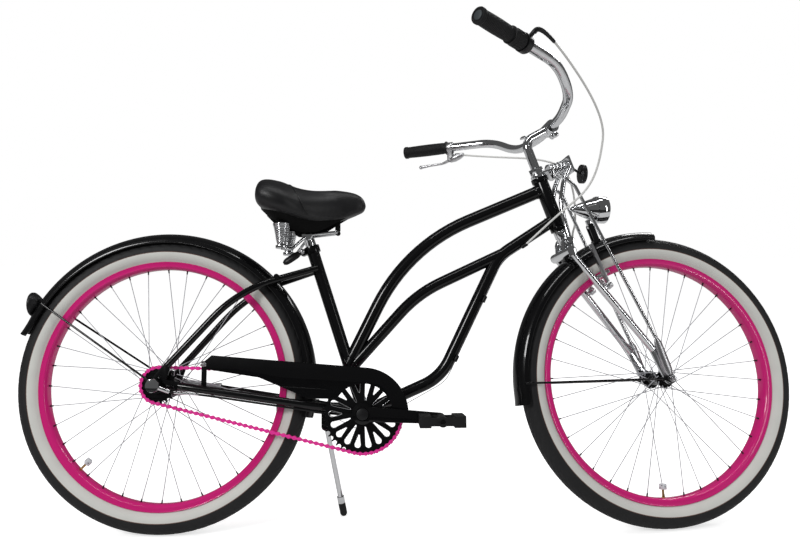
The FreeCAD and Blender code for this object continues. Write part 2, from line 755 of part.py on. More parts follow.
def toothed_face(teeth, first_tooth):
    """The face of a sprocket, with a tooth at an angle from +X towards +Z."""
    radius = pitch_radius(teeth)
    tip = radius + TOOTH_HEIGHT
    pocket = (ROLLER_RADIUS + SEAT) / cosine(30)
    step = 360.0 / teeth
    tooth_half = step * 0.13
    corners = []
    for index in range(teeth):
        angle = first_tooth + index * step

        def polar(distance, turn):
            return V(distance * cosine(angle + turn), 0, distance * sine(angle + turn))

        seat_centre = polar(radius, step / 2)
        outward = polar(1, step / 2)
        across = V(-outward.z, 0, outward.x)
        corners += [polar(tip, -tooth_half), polar(tip, tooth_half)]
        for turn in (-90, -30, 30, 90):
            corners.append(seat_centre + across * (pocket * sine(turn)) - outward * (pocket * cosine(turn)))
    return Part.Face(Part.makePolygon(corners + corners[:1]))


def slot_tool(angle, inner):
    """A teardrop slot with a round outer end."""
    centre = V(RING_SLOT_OUTER, 0, 0)
    lean = math.degrees(math.acos(RING_SLOT_RADIUS / (RING_SLOT_OUTER - inner)))
    upper = centre + V(-RING_SLOT_RADIUS * cosine(lean), 0, RING_SLOT_RADIUS * sine(lean))
    lower = V(upper.x, 0, -upper.z)
    point = V(inner, 0, 0)
    edges = polyline([lower, point, upper])
    edges.append(Part.Arc(upper, centre + V(RING_SLOT_RADIUS, 0, 0), lower).toShape())
    face = filled_face(edges)
    face.rotate(V(0, 0, 0), V(0, 1, 0), -angle)
    return face


def chain_heading():
    """Angle of the line from the cog's centre to the ring's centre."""
    return -math.degrees(math.atan2(BRACKET_DROP, BRACKET_X))


def chainring():
    """Toothed ring with long and short teardrop slots."""
    face = toothed_face(RING_TEETH, chain_heading())
    step = 360.0 / RING_SLOTS
    slots = [slot_tool(step * i, RING_SLOT_SHORT if i % 2 else RING_SLOT_LONG) for i in range(RING_SLOTS)]
    hole = Part.Face(Part.Wire(Part.makeCircle(SPINDLE_RADIUS + RUNNING, V(0, 0, 0), V(0, 1, 0))))
    plate = face.cut(slots + [hole]).extrude(V(0, TOOTH_THICKNESS, 0))
    plate.translate(V(0, -CHAIN_LINE - TOOTH_THICKNESS / 2, 0))
    return plate


def rear_sprocket():
    """Driven cog on its carrier, bored for the axle."""
    face = toothed_face(COG_TEETH, chain_heading() + 180)
    plate = face.extrude(V(0, TOOTH_THICKNESS, 0))
    plate.translate(V(0, -CHAIN_LINE - TOOTH_THICKNESS / 2, 0))
    carrier_end = REAR_SHELL_END - 4 + SEAT
    carrier = cross_rod(0, 0, REAR_SHELL_END_RADIUS, -CHAIN_LINE, -carrier_end)
    bore = cross_rod(0, 0, AXLE_RADIUS + RUNNING, -2 * CHAIN_LINE, 0)
    return fuse([plate, carrier]).cut(bore)


def chain_pins():
    """Centres of the chain's rollers in order round the loop, in the frame's drawing."""
    heading = chain_heading()
    ring_step = 360.0 / RING_TEETH
    cog_step = 360.0 / COG_TEETH
    pins = []
    for index in range(RING_WRAP + 1):
        angle = heading + (RING_WRAP / 2 - index) * -ring_step
        pins.append(BRACKET + V(cosine(angle), 0, sine(angle)) * pitch_radius(RING_TEETH))
    cog = []
    for index in range(COG_WRAP + 1):
        angle = heading + 180 + (COG_WRAP / 2 - index) * -cog_step
        cog.append(V(cosine(angle), 0, sine(angle)) * pitch_radius(COG_TEETH))
    run_links = (CHAIN_LINKS - RING_WRAP - COG_WRAP) // 2
    upper = [pins[-1] + (cog[0] - pins[-1]) * (i / run_links) for i in range(1, run_links)]
    lower = [cog[-1] + (pins[0] - cog[-1]) * (i / run_links) for i in range(1, run_links)]
    return pins + upper + cog + lower


def link_plate(start, end, y):
    """One side plate of a chain link, with chamfered ends."""
    along = (end - start).normalize()
    across = V(-along.z, 0, along.x)
    half = PLATE_HEIGHT / 2
    corners = []
    for side in (1, -1):
        ends = [start - along * half * 0.5, end + along * half * 0.5]
        ordered = ends if side > 0 else ends[::-1]
        corners += [point + across * (side * half) for point in ordered]
        corners.append(end + along * half if side > 0 else start - along * half)
    return side_plate(corners, y - CHAIN_LINE, PLATE_THICKNESS)


def chain():
    """Roller chain of inner and outer plates with a roller at every pin."""
    pins = chain_pins()
    solids = []
    for index, pin in enumerate(pins):
        following = pins[(index + 1) % len(pins)]
        outer = index % 2
        near = PLATE_HALF_INNER + outer * PLATE_THICKNESS
        solids.append(link_plate(pin, following, near))
        solids.append(link_plate(pin, following, -near - PLATE_THICKNESS))
        solids.append(roller(pin))
    return Part.makeCompound(solids)


def roller(pin):
    """A six-sided roller between the inner plates."""
    nut = hexagon_nut(V(pin.x, -CHAIN_LINE - PLATE_HALF_INNER, pin.z), V(0, 1, 0),
                      2 * ROLLER_RADIUS * cosine(30), CHAIN_INNER_WIDTH)
    return nut


# Cranks and pedals, drawn about the Y axis at the origin

def crank_arm(side):
    """A crank arm that flares outwards to its pedal, with the pedal's axle."""
    angle = CRANK_ANGLE if side < 0 else CRANK_ANGLE + 180
    tip = V(CRANK_LENGTH * cosine(angle), 0, CRANK_LENGTH * sine(angle))
    inner = CRANK_INNER_Y
    bar = link_face(V(0, 0, 0), CRANK_ROOT_RADIUS, tip, CRANK_TIP_RADIUS).extrude(V(0, CRANK_FLARE + CRANK_THICKNESS, 0))
    bar.translate(V(0, inner, 0))
    wide = 3 * CRANK_ROOT_RADIUS
    reach = CRANK_LENGTH + wide
    slope = CRANK_FLARE / (CRANK_LENGTH - CRANK_ROOT_RADIUS)
    start = CRANK_ROOT_RADIUS
    far = inner + slope * (reach - start)
    band = [V(-wide, inner, -wide), V(start, inner, -wide), V(reach, far, -wide)]
    band += [V(reach, far + CRANK_THICKNESS, -wide), V(start, inner + CRANK_THICKNESS, -wide)]
    band += [V(-wide, inner + CRANK_THICKNESS, -wide)]
    flare = Part.Face(Part.makePolygon(band + band[:1])).extrude(V(0, 0, 2 * wide))
    flare.rotate(V(0, 0, 0), V(0, 1, 0), -angle)
    arm = bar.common(flare)
    bore = cross_rod(0, 0, SPINDLE_RADIUS + RUNNING, 0, 2 * inner)
    arm = arm.cut(bore)
    if side < 0:
        boss_start = CHAIN_LINE + TOOTH_THICKNESS / 2
        boss = cross_rod(0, 0, SPIDER_RADIUS, boss_start, inner).cut(bore)
        arm = fuse([arm, boss])
    axle = cross_rod(tip.x, tip.z, PEDAL_AXLE_RADIUS, inner + CRANK_FLARE, pedal_outer())
    arm = arm.cut(axle)
    solids = Part.makeCompound([arm, axle])
    return solids if side > 0 else solids.mirror(V(0, 0, 0), V(0, 1, 0))


def pedal_inner():
    """Distance of a pedal's inner face from the bicycle's plane."""
    return CRANK_INNER_Y + CRANK_FLARE + CRANK_THICKNESS + PEDAL_GAP


def pedal_outer():
    """Distance of a pedal's outer face from the bicycle's plane."""
    return pedal_inner() + PEDAL_WIDTH


def crank_set():
    """Spindle, two arms and two pedal axles."""
    reach = CRANK_INNER_Y + CRANK_THICKNESS
    spindle = cross_rod(0, 0, SPINDLE_RADIUS, -reach, reach)
    return Part.makeCompound([spindle] + crank_arm(-1).Solids + crank_arm(1).Solids)


def pedal(side):
    """Platform pedal of a barrel, two cheeks and two ribbed treads."""
    angle = CRANK_ANGLE if side < 0 else CRANK_ANGLE + 180
    centre = V(CRANK_LENGTH * cosine(angle), 0, CRANK_LENGTH * sine(angle))
    inner = pedal_inner()
    outer = pedal_outer()
    half = PEDAL_LENGTH / 2
    parts = [cross_rod(0, 0, PEDAL_BARREL_RADIUS, inner, outer)]
    for y in (inner, outer - PEDAL_CHEEK):
        parts.append(Part.makeBox(PEDAL_LENGTH, PEDAL_CHEEK, PEDAL_HEIGHT * 0.7, V(-half, y, -PEDAL_HEIGHT * 0.35)))
    for x in (-half, half - PEDAL_TREAD):
        tread = Part.makeBox(PEDAL_TREAD, outer - inner, PEDAL_HEIGHT, V(x, inner, -PEDAL_HEIGHT / 2))
        parts.append(tread.cut(tread_grooves(x, inner, outer)))
    body = fuse(parts).cut(cross_rod(0, 0, PEDAL_AXLE_RADIUS + RUNNING, 0, 2 * outer))
    body.translate(centre)
    return body if side > 0 else body.mirror(V(0, 0, 0), V(0, 1, 0))


def tread_grooves(x, inner, outer):
    """Cross grooves in a pedal's tread, top and bottom."""
    count = 5
    depth = PEDAL_HEIGHT / 6
    pitch = (outer - inner) / (count + 1)
    width = pitch / 3
    grooves = []
    for index in range(count):
        y = inner + pitch * (index + 1) - width / 2
        for z in (PEDAL_HEIGHT / 2 - depth, -PEDAL_HEIGHT / 2):
            grooves.append(Part.makeBox(PEDAL_TREAD, width, depth, V(x, y, z)))
    return grooves


# Frame

def seat_tube_solid(radius):
    """The seat tube's round space."""
    return rod(BRACKET, seat_point(SEAT_TUBE_LENGTH), radius)


def bracket_solid(radius):
    """The bottom bracket's round space."""
    return cross_rod(BRACKET.x, BRACKET.z, radius, -BRACKET_WIDTH / 2, BRACKET_WIDTH / 2)


def head_solid(radius):
    """The head tube's round space."""
    return rod(head_point(0), head_point(HEAD_TUBE_LENGTH), radius)


def bottom_bracket():
    """Shell with its two bearings."""
    shell = bracket_solid(BRACKET_RADIUS).cut(bracket_solid(BRACKET_RADIUS - BRACKET_WALL))
    bearings = []
    for y in (-BRACKET_WIDTH / 2, BRACKET_WIDTH / 2 - BEARING_WIDTH):
        ring = cross_rod(BRACKET.x, BRACKET.z, BRACKET_RADIUS - BRACKET_WALL - RUNNING, y, y + BEARING_WIDTH)
        bearings.append(ring.cut(cross_rod(BRACKET.x, BRACKET.z, SPINDLE_RADIUS + RUNNING, y, y + BEARING_WIDTH)))
    return Part.makeCompound([shell] + bearings)


def head_tube():
    return head_solid(HEAD_TUBE_RADIUS).cut(head_solid(HEAD_TUBE_RADIUS - HEAD_TUBE_WALL))


def seat_tube():
    tube = seat_tube_solid(SEAT_TUBE_RADIUS).cut(seat_tube_solid(SEAT_TUBE_RADIUS - TUBE_WALL))
    return largest(tube.cut(bracket_solid(BRACKET_RADIUS)))


def down_tube_points():
    return [head_point(DOWN_TUBE_HEAD), head_point(0) + DOWN_TUBE_UPPER_BEND, BRACKET + DOWN_TUBE_LOWER_BEND, BRACKET]


def down_tube_solid(radius):
    """The down tube's S-bent space."""
    return bent_rod(down_tube_points(), [DOWN_TUBE_UPPER_RADIUS, DOWN_TUBE_LOWER_RADIUS], radius)


def top_tube_solid(radius):
    """The top tube's bent space."""
    points = [seat_point(TOP_TUBE_FOOT), BRACKET + TOP_TUBE_BEND, head_point(TOP_TUBE_HEAD)]
    return bent_rod(points, [TOP_TUBE_BEND_RADIUS], radius)


def down_tube():
    tube = down_tube_solid(DOWN_TUBE_RADIUS).cut(down_tube_solid(DOWN_TUBE_RADIUS - TUBE_WALL))
    cup = rod(head_point(-CUP_HEIGHT), head_point(0), CUP_RADIUS)
    tube = tube.cut([head_solid(HEAD_TUBE_RADIUS), cup]).cut(bracket_solid(BRACKET_RADIUS))
    return largest(tube.cut(seat_tube_solid(SEAT_TUBE_RADIUS)))


def top_tube():
    tube = top_tube_solid(TOP_TUBE_RADIUS).cut(top_tube_solid(TOP_TUBE_RADIUS - TUBE_WALL))
    tube = tube.cut(seat_tube_solid(SEAT_TUBE_RADIUS)).cut(middle_tube_solid(MIDDLE_TUBE_RADIUS))
    return largest(tube.cut(head_solid(HEAD_TUBE_RADIUS)))


def middle_tube_solid(radius):
    """The middle tube's bent space."""
    foot = seat_point(MIDDLE_TUBE_FOOT)
    chord = down_tube_points()[1] + V(MIDDLE_TUBE_RADIUS, 0, MIDDLE_TUBE_RISE) - foot
    bow = V(-chord.z, 0, chord.x).normalize() * MIDDLE_TUBE_BOW
    points = [foot, foot + chord * MIDDLE_TUBE_BEND_SHARE + bow, foot + chord]
    return bent_rod(points, [MIDDLE_TUBE_BEND_RADIUS], radius)


def middle_tube():
    tube = middle_tube_solid(MIDDLE_TUBE_RADIUS).cut(middle_tube_solid(MIDDLE_TUBE_RADIUS - TUBE_WALL))
    tube = tube.cut(seat_tube_solid(SEAT_TUBE_RADIUS))
    return largest(tube.cut(down_tube_solid(DOWN_TUBE_RADIUS)))


def stay_y():
    """Distance of the dropouts' middle from the bicycle's plane."""
    return DROPOUT_INNER_Y + DROPOUT_THICKNESS / 2


def seat_stay_points(side):
    start = SEAT_STAY_START + V(0, side * stay_y(), 0)
    bend = V(SEAT_STAY_BEND.x, side * SEAT_STAY_BEND.y, SEAT_STAY_BEND.z)
    reach = SEAT_TUBE_RADIUS + SEAT_STAY_RADIUS / 2
    top = seat_point(SEAT_TUBE_LENGTH - SEAT_STAY_DROP) + V(0, side * reach, 0)
    return [start, bend, top]


def bridge_centre():
    """Where the seat stays pass just over the fender's crown."""
    reach = FENDER_RADIUS + BRIDGE_RADIUS + RUNNING
    stay = bent_wire(seat_stay_points(1), [SEAT_STAY_BEND_RADIUS])
    crossing = min(stay.discretize(400), key=lambda point: abs(math.hypot(point.x, point.z) - reach))
    way = V(crossing.x, 0, crossing.z).normalize()
    return way * reach


def seat_stays():
    """Two curved stays with a bridge over the wheel."""
    stays = []
    for side in (-1, 1):
        stay = bent_rod(seat_stay_points(side), [SEAT_STAY_BEND_RADIUS], SEAT_STAY_RADIUS)
        inner = bent_rod(seat_stay_points(side), [SEAT_STAY_BEND_RADIUS], SEAT_STAY_RADIUS - TUBE_WALL)
        trimmed = stay.cut(inner).cut([seat_tube_solid(SEAT_TUBE_RADIUS), dropout(side)])
        stays.append(largest(trimmed))
    centre = bridge_centre()
    bridge = cross_rod(centre.x, centre.z, BRIDGE_RADIUS, -stay_y(), stay_y())
    solid_stays = [bent_rod(seat_stay_points(side), [SEAT_STAY_BEND_RADIUS], SEAT_STAY_RADIUS) for side in (-1, 1)]
    bridge = min(bridge.cut(solid_stays).Solids, key=lambda piece: abs(piece.CenterOfMass.y))
    return Part.makeCompound(stays + [bridge])


def chain_stay_points(side):
    start = CHAIN_STAY_START + V(0, side * stay_y(), 0)
    drop = (BRACKET.z - CHAIN_STAY_START.z) / (BRACKET.x - CHAIN_STAY_START.x)
    fender_y = FENDER_WIDTH / 2 + CHAIN_STAY_RADIUS + 4 * SEAT

    def along(x, y):
        return V(x, side * y, CHAIN_STAY_START.z + drop * (x - CHAIN_STAY_START.x))

    return [start, along(FENDER_RADIUS - CHAIN_STAY_FENDER_LAP, fender_y), along(BRACKET.x - CHAIN_STAY_RING_GAP, CHAIN_STAY_RING_Y),
            along(BRACKET.x, CHAIN_STAY_ROOT_Y)]


def dropout(side):
    """Slotted end plate that joins a chain stay and a seat stay at the axle."""
    y = DROPOUT_INNER_Y if side > 0 else -DROPOUT_INNER_Y - DROPOUT_THICKNESS
    eye = link_face(V(0, y, 0), DROPOUT_RADIUS, V(CHAIN_STAY_START.x, y, CHAIN_STAY_START.z), CHAIN_STAY_RADIUS)
    ear = link_face(V(0, y, 0), DROPOUT_RADIUS, V(SEAT_STAY_START.x, y, SEAT_STAY_START.z), SEAT_STAY_RADIUS)
    plate = fuse([eye.extrude(V(0, DROPOUT_THICKNESS, 0)), ear.extrude(V(0, DROPOUT_THICKNESS, 0))])
    slot = link_face(V(0, y, 0), AXLE_RADIUS + SEAT / 3, V(-2 * DROPOUT_RADIUS, y, 0), AXLE_RADIUS + SEAT / 3 - 0.01)
    return plate.cut(slot.extrude(V(0, DROPOUT_THICKNESS, 0)))


def chain_stays():
    """Two bent stays, their dropouts and the kickstand's plate."""
    radii = [STAY_BEND_RADIUS, STAY_BEND_RADIUS]
    solids = []
    plates = [dropout(-1), dropout(1)]
    for side in (-1, 1):
        outer = bent_rod(chain_stay_points(side), radii, CHAIN_STAY_RADIUS)
        inner = bent_rod(chain_stay_points(side), radii, CHAIN_STAY_RADIUS - TUBE_WALL)
        solids.append(largest(outer.cut(inner).cut(plates).cut(bracket_solid(BRACKET_RADIUS))))
    return Part.makeCompound(solids + plates)


def headset_cups():
    """Pressed cups at both ends of the head tube."""
    cups = []
    for low in (-CUP_HEIGHT, HEAD_TUBE_LENGTH):
        ring = rod(head_point(low), head_point(low + CUP_HEIGHT), CUP_RADIUS)
        cups.append(ring.cut(rod(head_point(low), head_point(low + CUP_HEIGHT), STEERER_RADIUS + RUNNING)))
    return Part.makeCompound(cups)


# Fenders

def fender(start, end):
    """A rolled fender about the Y axis, between two angles from +X towards +Z."""
    half = FENDER_WIDTH / 2
    shoulder = FENDER_RADIUS - FENDER_SHOULDER

    def section(inset):
        side = half - inset
        return [V(FENDER_EDGE_RADIUS, side, 0), V(shoulder - inset, side, 0), V(FENDER_RADIUS - inset, 0, 0),
                V(shoulder - inset, -side, 0), V(FENDER_EDGE_RADIUS, -side, 0)]

    outer = section(0)
    inner = section(FENDER_WALL)
    edges = polyline(outer[:2]) + [crown_arc(outer)] + polyline(outer[3:])
    edges += polyline([outer[4], inner[4]]) + polyline([inner[4], inner[3]]) + [crown_arc(inner[::-1])]
    edges += polyline([inner[1], inner[0]]) + polyline([inner[0], outer[0]])
    ring = filled_face(edges)
    ring.rotate(V(0, 0, 0), V(0, 1, 0), -start)
    return ring.revolve(V(0, 0, 0), V(0, 1, 0), -(end - start))


def fender_space(start, end):
    """Everything inside a fender's outer face."""
    half = FENDER_WIDTH / 2
    shoulder = FENDER_RADIUS - FENDER_SHOULDER
    outer = [V(FENDER_EDGE_RADIUS, half, 0), V(shoulder, half, 0), V(FENDER_RADIUS, 0, 0),
             V(shoulder, -half, 0), V(FENDER_EDGE_RADIUS, -half, 0)]
    edges = polyline(outer[:2]) + [crown_arc(outer)] + polyline([outer[3], outer[4], outer[0]])
    ring = filled_face(edges)
    ring.rotate(V(0, 0, 0), V(0, 1, 0), -start)
    return ring.revolve(V(0, 0, 0), V(0, 1, 0), -(end - start))


def crown_arc(section):
    """The arched top of a fender's section."""
    return Part.Arc(section[1], section[2], section[3]).toShape()


def fender_stays(angle, inner):
    """Two straight rods from a fender's sides to eyes on the axle, whose inner faces lie at a distance."""
    way = V(cosine(angle), 0, sine(angle))
    edge_y = FENDER_WIDTH / 2 + FENDER_STAY_RADIUS + SEAT / 3
    hole = cross_rod(0, 0, AXLE_RADIUS + SEAT / 3, -2 * inner, 2 * inner)
    stays = []
    for side in (-1, 1):
        centre = V(0, inner if side > 0 else -inner - EYE_THICKNESS, 0)
        eye = link_face(centre, AXLE_RADIUS * 2, centre + way * 4 * AXLE_RADIUS, FENDER_STAY_RADIUS)
        eye = eye.extrude(V(0, EYE_THICKNESS, 0))
        start = way * 3.6 * AXLE_RADIUS + V(0, side * (inner + EYE_THICKNESS / 2), 0)
        top = way * (FENDER_EDGE_RADIUS + FENDER_STAY_LAP) + V(0, side * edge_y, 0)
        stays.append(fuse([rod(start, top, FENDER_STAY_RADIUS), eye]).cut(hole))
    return Part.makeCompound(stays)


def tail_light(part):
    """Cup and lens that face backwards from the rear fender."""
    seat = V(FENDER_RADIUS * cosine(TAIL_LIGHT_ANGLE), 0, FENDER_RADIUS * sine(TAIL_LIGHT_ANGLE))
    depth = TAIL_LIGHT_LENGTH
    if part == "lens":
        outline = [V(0, 0, depth), V(TAIL_LIGHT_RADIUS - LAMP_WALL - RUNNING, 0, depth)]
        outline += [V(TAIL_LIGHT_RADIUS - LAMP_WALL - RUNNING, 0, depth - TAIL_LENS_DEPTH), V(0, 0, depth - TAIL_LENS_DEPTH)]
    else:
        rim_z = depth - TAIL_LENS_DEPTH
        outline = [V(0, 0, 0), V(TAIL_LIGHT_NECK, 0, 0), V(TAIL_LIGHT_RADIUS, 0, rim_z), V(TAIL_LIGHT_RADIUS, 0, depth)]
        outline += [V(TAIL_LIGHT_RADIUS - LAMP_WALL, 0, depth), V(TAIL_LIGHT_RADIUS - LAMP_WALL, 0, rim_z), V(0, 0, rim_z)]
    face = Part.Face(Part.makePolygon(outline + outline[:1]))
    body = face.revolve(V(0, 0, 0), V(0, 0, 1), 360)
    body.Placement = FreeCAD.Placement(seat + V(4, 0, 0), FreeCAD.Rotation(V(0, 0, 1), V(-1, 0, 0)))
    return largest(body.cut(fender_space(REAR_FENDER_START, REAR_FENDER_END)))


# Chain guard

def guard_top_angle():
    """Where the guard's straight top edge leaves its disc."""
    gap = V(GUARD_TAIL.x, 0, GUARD_TAIL.z) - BRACKET
    return math.degrees(math.atan2(gap.z, gap.x) - math.acos(GUARD_RADIUS / gap.Length))


def disc_point(radius, angle, y):
    """A point on a circle round the bottom bracket."""
    return V(BRACKET.x + radius * cosine(angle), y, BRACKET.z + radius * sine(angle))


def disc_arc(radius, first, last, y):
    """An arc round the bottom bracket."""
    middle = (first + last) / 2
    arc = Part.Arc(disc_point(radius, first, y), disc_point(radius, middle, y), disc_point(radius, last, y))
    return arc.toShape()


def guard_plate(y):
    """The guard's face: disc over the ring, long top edge, pointed tail and stepped belly."""
    top = guard_top_angle()
    corners = [GUARD_TAIL, GUARD_TAIL_LOW, GUARD_HEEL, GUARD_BELLY, BRACKET + GUARD_SKIRT]
    run = [disc_point(GUARD_RADIUS, top, y)]
    run += [V(point.x, y, point.z) for point in corners]
    run.append(disc_point(GUARD_OPENING, GUARD_OPENING_ANGLE, y))
    front = [disc_point(GUARD_OPENING, GUARD_FRONT_ANGLE, y), disc_point(GUARD_RADIUS, GUARD_FRONT_ANGLE, y)]
    edges = [disc_arc(GUARD_RADIUS, GUARD_FRONT_ANGLE, top, y)] + polyline(run)
    edges.append(disc_arc(GUARD_OPENING, GUARD_OPENING_ANGLE, GUARD_FRONT_ANGLE, y))
    return filled_face(edges + polyline(front))


def guard_lip(y):
    """The narrow face of the lip that follows the guard's upper edge."""
    top = guard_top_angle()
    inner = GUARD_RADIUS - GUARD_THICKNESS
    tail = V(GUARD_TAIL.x, y, GUARD_TAIL.z)
    tail_inner = tail - V(cosine(top), 0, sine(top)) * GUARD_THICKNESS
    back = [disc_point(GUARD_RADIUS, top, y), tail, tail_inner, disc_point(inner, top, y)]
    front = [disc_point(inner, GUARD_FRONT_ANGLE, y), disc_point(GUARD_RADIUS, GUARD_FRONT_ANGLE, y)]
    edges = [disc_arc(GUARD_RADIUS, GUARD_FRONT_ANGLE, top, y)] + polyline(back)
    edges.append(disc_arc(inner, top, GUARD_FRONT_ANGLE, y))
    return filled_face(edges + polyline(front))


def chain_guard():
    """Plate with an inward lip, a front arm to the seat tube and a rear strap to the chain stay."""
    plate = guard_plate(-GUARD_Y - GUARD_THICKNESS).extrude(V(0, GUARD_THICKNESS, 0))
    lip = guard_lip(-GUARD_Y).extrude(V(0, GUARD_LIP, 0))
    foot = GUARD_ARM_DISTANCE
    arm = cross_rod(seat_point(foot).x, seat_point(foot).z, GUARD_ARM_RADIUS, -GUARD_Y, 0)
    arm = arm.cut([seat_tube_solid(SEAT_TUBE_RADIUS), top_tube_solid(TOP_TUBE_RADIUS)])
    arm = min(arm.Solids, key=lambda piece: piece.CenterOfMass.y)
    stay = chain_stay_points(-1)
    share = (GUARD_STRAP_X - stay[0].x) / (stay[1].x - stay[0].x)
    root = stay[0] + (stay[1] - stay[0]) * share
    strap = Part.makeBox(GUARD_STRAP_WIDTH, GUARD_THICKNESS, GUARD_TAIL_LOW.z - root.z + GUARD_STRAP_WIDTH,
                         V(root.x - GUARD_STRAP_WIDTH / 2, -GUARD_Y, root.z))
    strap = largest(strap.cut(chain_stay_space(-1)))
    return fuse([plate, lip, arm, strap])


# Seat

def seat_clamp():
    """Collar round the top of the seat tube, with the ears and skewer of its quick release."""
    low = seat_point(SEAT_TUBE_LENGTH - CLAMP_HEIGHT)
    ring = rod(low, seat_point(SEAT_TUBE_LENGTH), SEAT_TUBE_RADIUS + CLAMP_WALL)
    middle = seat_point(SEAT_TUBE_LENGTH - CLAMP_HEIGHT / 2, -SEAT_TUBE_RADIUS - 2 * CLAMP_WALL)
    ear = rod(middle - V(0, CLAMP_HEIGHT / 2, 0), middle + V(0, CLAMP_HEIGHT / 2, 0), CLAMP_HEIGHT / 2)
    skewer = rod(middle - V(0, CLAMP_HEIGHT * 0.9, 0), middle + V(0, CLAMP_HEIGHT, 0), SKEWER_RADIUS)
    collar = fuse([ring, ear, skewer])
    return largest(collar.cut(rod(low, seat_point(SEAT_TUBE_LENGTH), SEAT_TUBE_RADIUS)))


def skewer_end():
    """Where the quick-release lever's cam sits, outside the right ear."""
    middle = seat_point(SEAT_TUBE_LENGTH - CLAMP_HEIGHT / 2, -SEAT_TUBE_RADIUS - 2 * CLAMP_WALL)
    return middle - V(0, CLAMP_HEIGHT * 1.3 + 2 * SEAT, 0)


def lever_direction():
    """Way that the closed quick-release lever points."""
    return V(-cosine(LEVER_FALL), 0, -sine(LEVER_FALL))


def seat_lever():
    """Quick-release lever with its cam."""
    hub = skewer_end()
    tip = hub + lever_direction() * LEVER_LENGTH
    width = SKEWER_RADIUS * 2
    bar = link_face(hub, CLAMP_HEIGHT * 0.4, tip, CLAMP_HEIGHT * 0.3).extrude(V(0, width, 0))
    bar.translate(V(0, -width / 2, 0))
    return fuse([bar, Part.makeSphere(CLAMP_HEIGHT * 0.4, hub)])


def saddle_rail(side):
    """One bent wire of the saddle's undercarriage."""
    clamp = SADDLE_CLAMP
    foot = V(SADDLE_SPRING_X, side * SADDLE_SPRING_Y, rail_foot_z())
    nose = V(SADDLE_PIVOT.x, side * RAIL_NOSE_Y, SADDLE_PIVOT.z)
    middle = V(clamp.x, side * RAIL_CLAMP_Y, clamp.z)
    level = V(middle.x, middle.y, foot.z) - foot
    knee = foot + level.normalize() * RAIL_FOOT_RUN
    return bent_rod([nose, middle, knee, foot], [RAIL_BEND_RADIUS, RAIL_FOOT_BEND], RAIL_RADIUS)


def rail_foot_z():
    """Height of the rails' ends under the saddle springs."""
    return SADDLE_PAN_Z - SADDLE_SPRING_HEIGHT - SPRING_SEAT_THICKNESS - RAIL_RADIUS


def seat_post():
    """Round post with a cross clamp for the saddle's rails."""
    clamp = SADDLE_CLAMP
    post = rod(seat_point(SEAT_TUBE_LENGTH - POST_INSERT), clamp, POST_RADIUS)
    head = cross_rod(clamp.x, clamp.z, SADDLE_CLAMP_RADIUS, -SADDLE_CLAMP_HALF, SADDLE_CLAMP_HALF)
    return largest(fuse([post, head]).cut([saddle_rail(-1), saddle_rail(1)]))


def saddle_frame():
    """Two rails with a spring seat at each rear end and the pin of the nose hinge."""
    solids = [cross_rod(SADDLE_PIVOT.x, SADDLE_PIVOT.z, NOSE_PIN_RADIUS, -RAIL_NOSE_Y, RAIL_NOSE_Y)]
    for side in (-1, 1):
        low = V(SADDLE_SPRING_X, side * SADDLE_SPRING_Y, rail_foot_z())
        seat = Part.makeCylinder(SADDLE_SPRING_FOOT_RADIUS + SADDLE_SPRING_WIRE, SPRING_SEAT_THICKNESS + RAIL_RADIUS, low)
        solids += [saddle_rail(side), seat]
    return fuse(solids)


def saddle_springs():
    """Two barrel springs, wider at the top."""
    springs = []
    for side in (-1, 1):
        coil = coil_spring(SADDLE_SPRING_FOOT_RADIUS, SADDLE_SPRING_TOP_RADIUS, SADDLE_SPRING_HEIGHT,
                           SADDLE_SPRING_TURNS, SADDLE_SPRING_WIRE)
        coil.translate(V(SADDLE_SPRING_X, side * SADDLE_SPRING_Y, SADDLE_PAN_Z - SADDLE_SPRING_HEIGHT))
        springs.append(coil)
    return Part.makeCompound(springs)


def saddle_base():
    """Pan under the cushion, with the lug of the nose hinge."""
    half = [V(-79, 70, 0), V(-26, 74, 0), V(24, 40, 0), V(97, 18, 0)]
    corners = half + [mirrored(point) for point in half[::-1]]
    corners = [V(SADDLE_CLAMP.x + point.x, point.y, SADDLE_PAN_Z) for point in corners]
    pan = Part.Face(Part.makePolygon(corners + corners[:1])).extrude(V(0, 0, SADDLE_PAN_THICKNESS))
    top = V(SADDLE_PIVOT.x, 0, SADDLE_PAN_Z + SADDLE_PAN_THICKNESS / 2)
    lug = rod(SADDLE_PIVOT, top, NOSE_LUG_HALF - 2 * SEAT)
    eye = cross_rod(SADDLE_PIVOT.x, SADDLE_PIVOT.z, 2 * NOSE_PIN_RADIUS, -NOSE_LUG_HALF, NOSE_LUG_HALF)
    hole = cross_rod(SADDLE_PIVOT.x, SADDLE_PIVOT.z, NOSE_PIN_RADIUS + RUNNING, -RAIL_NOSE_Y, RAIL_NOSE_Y)
    return fuse([pan, lug, eye]).cut(hole)


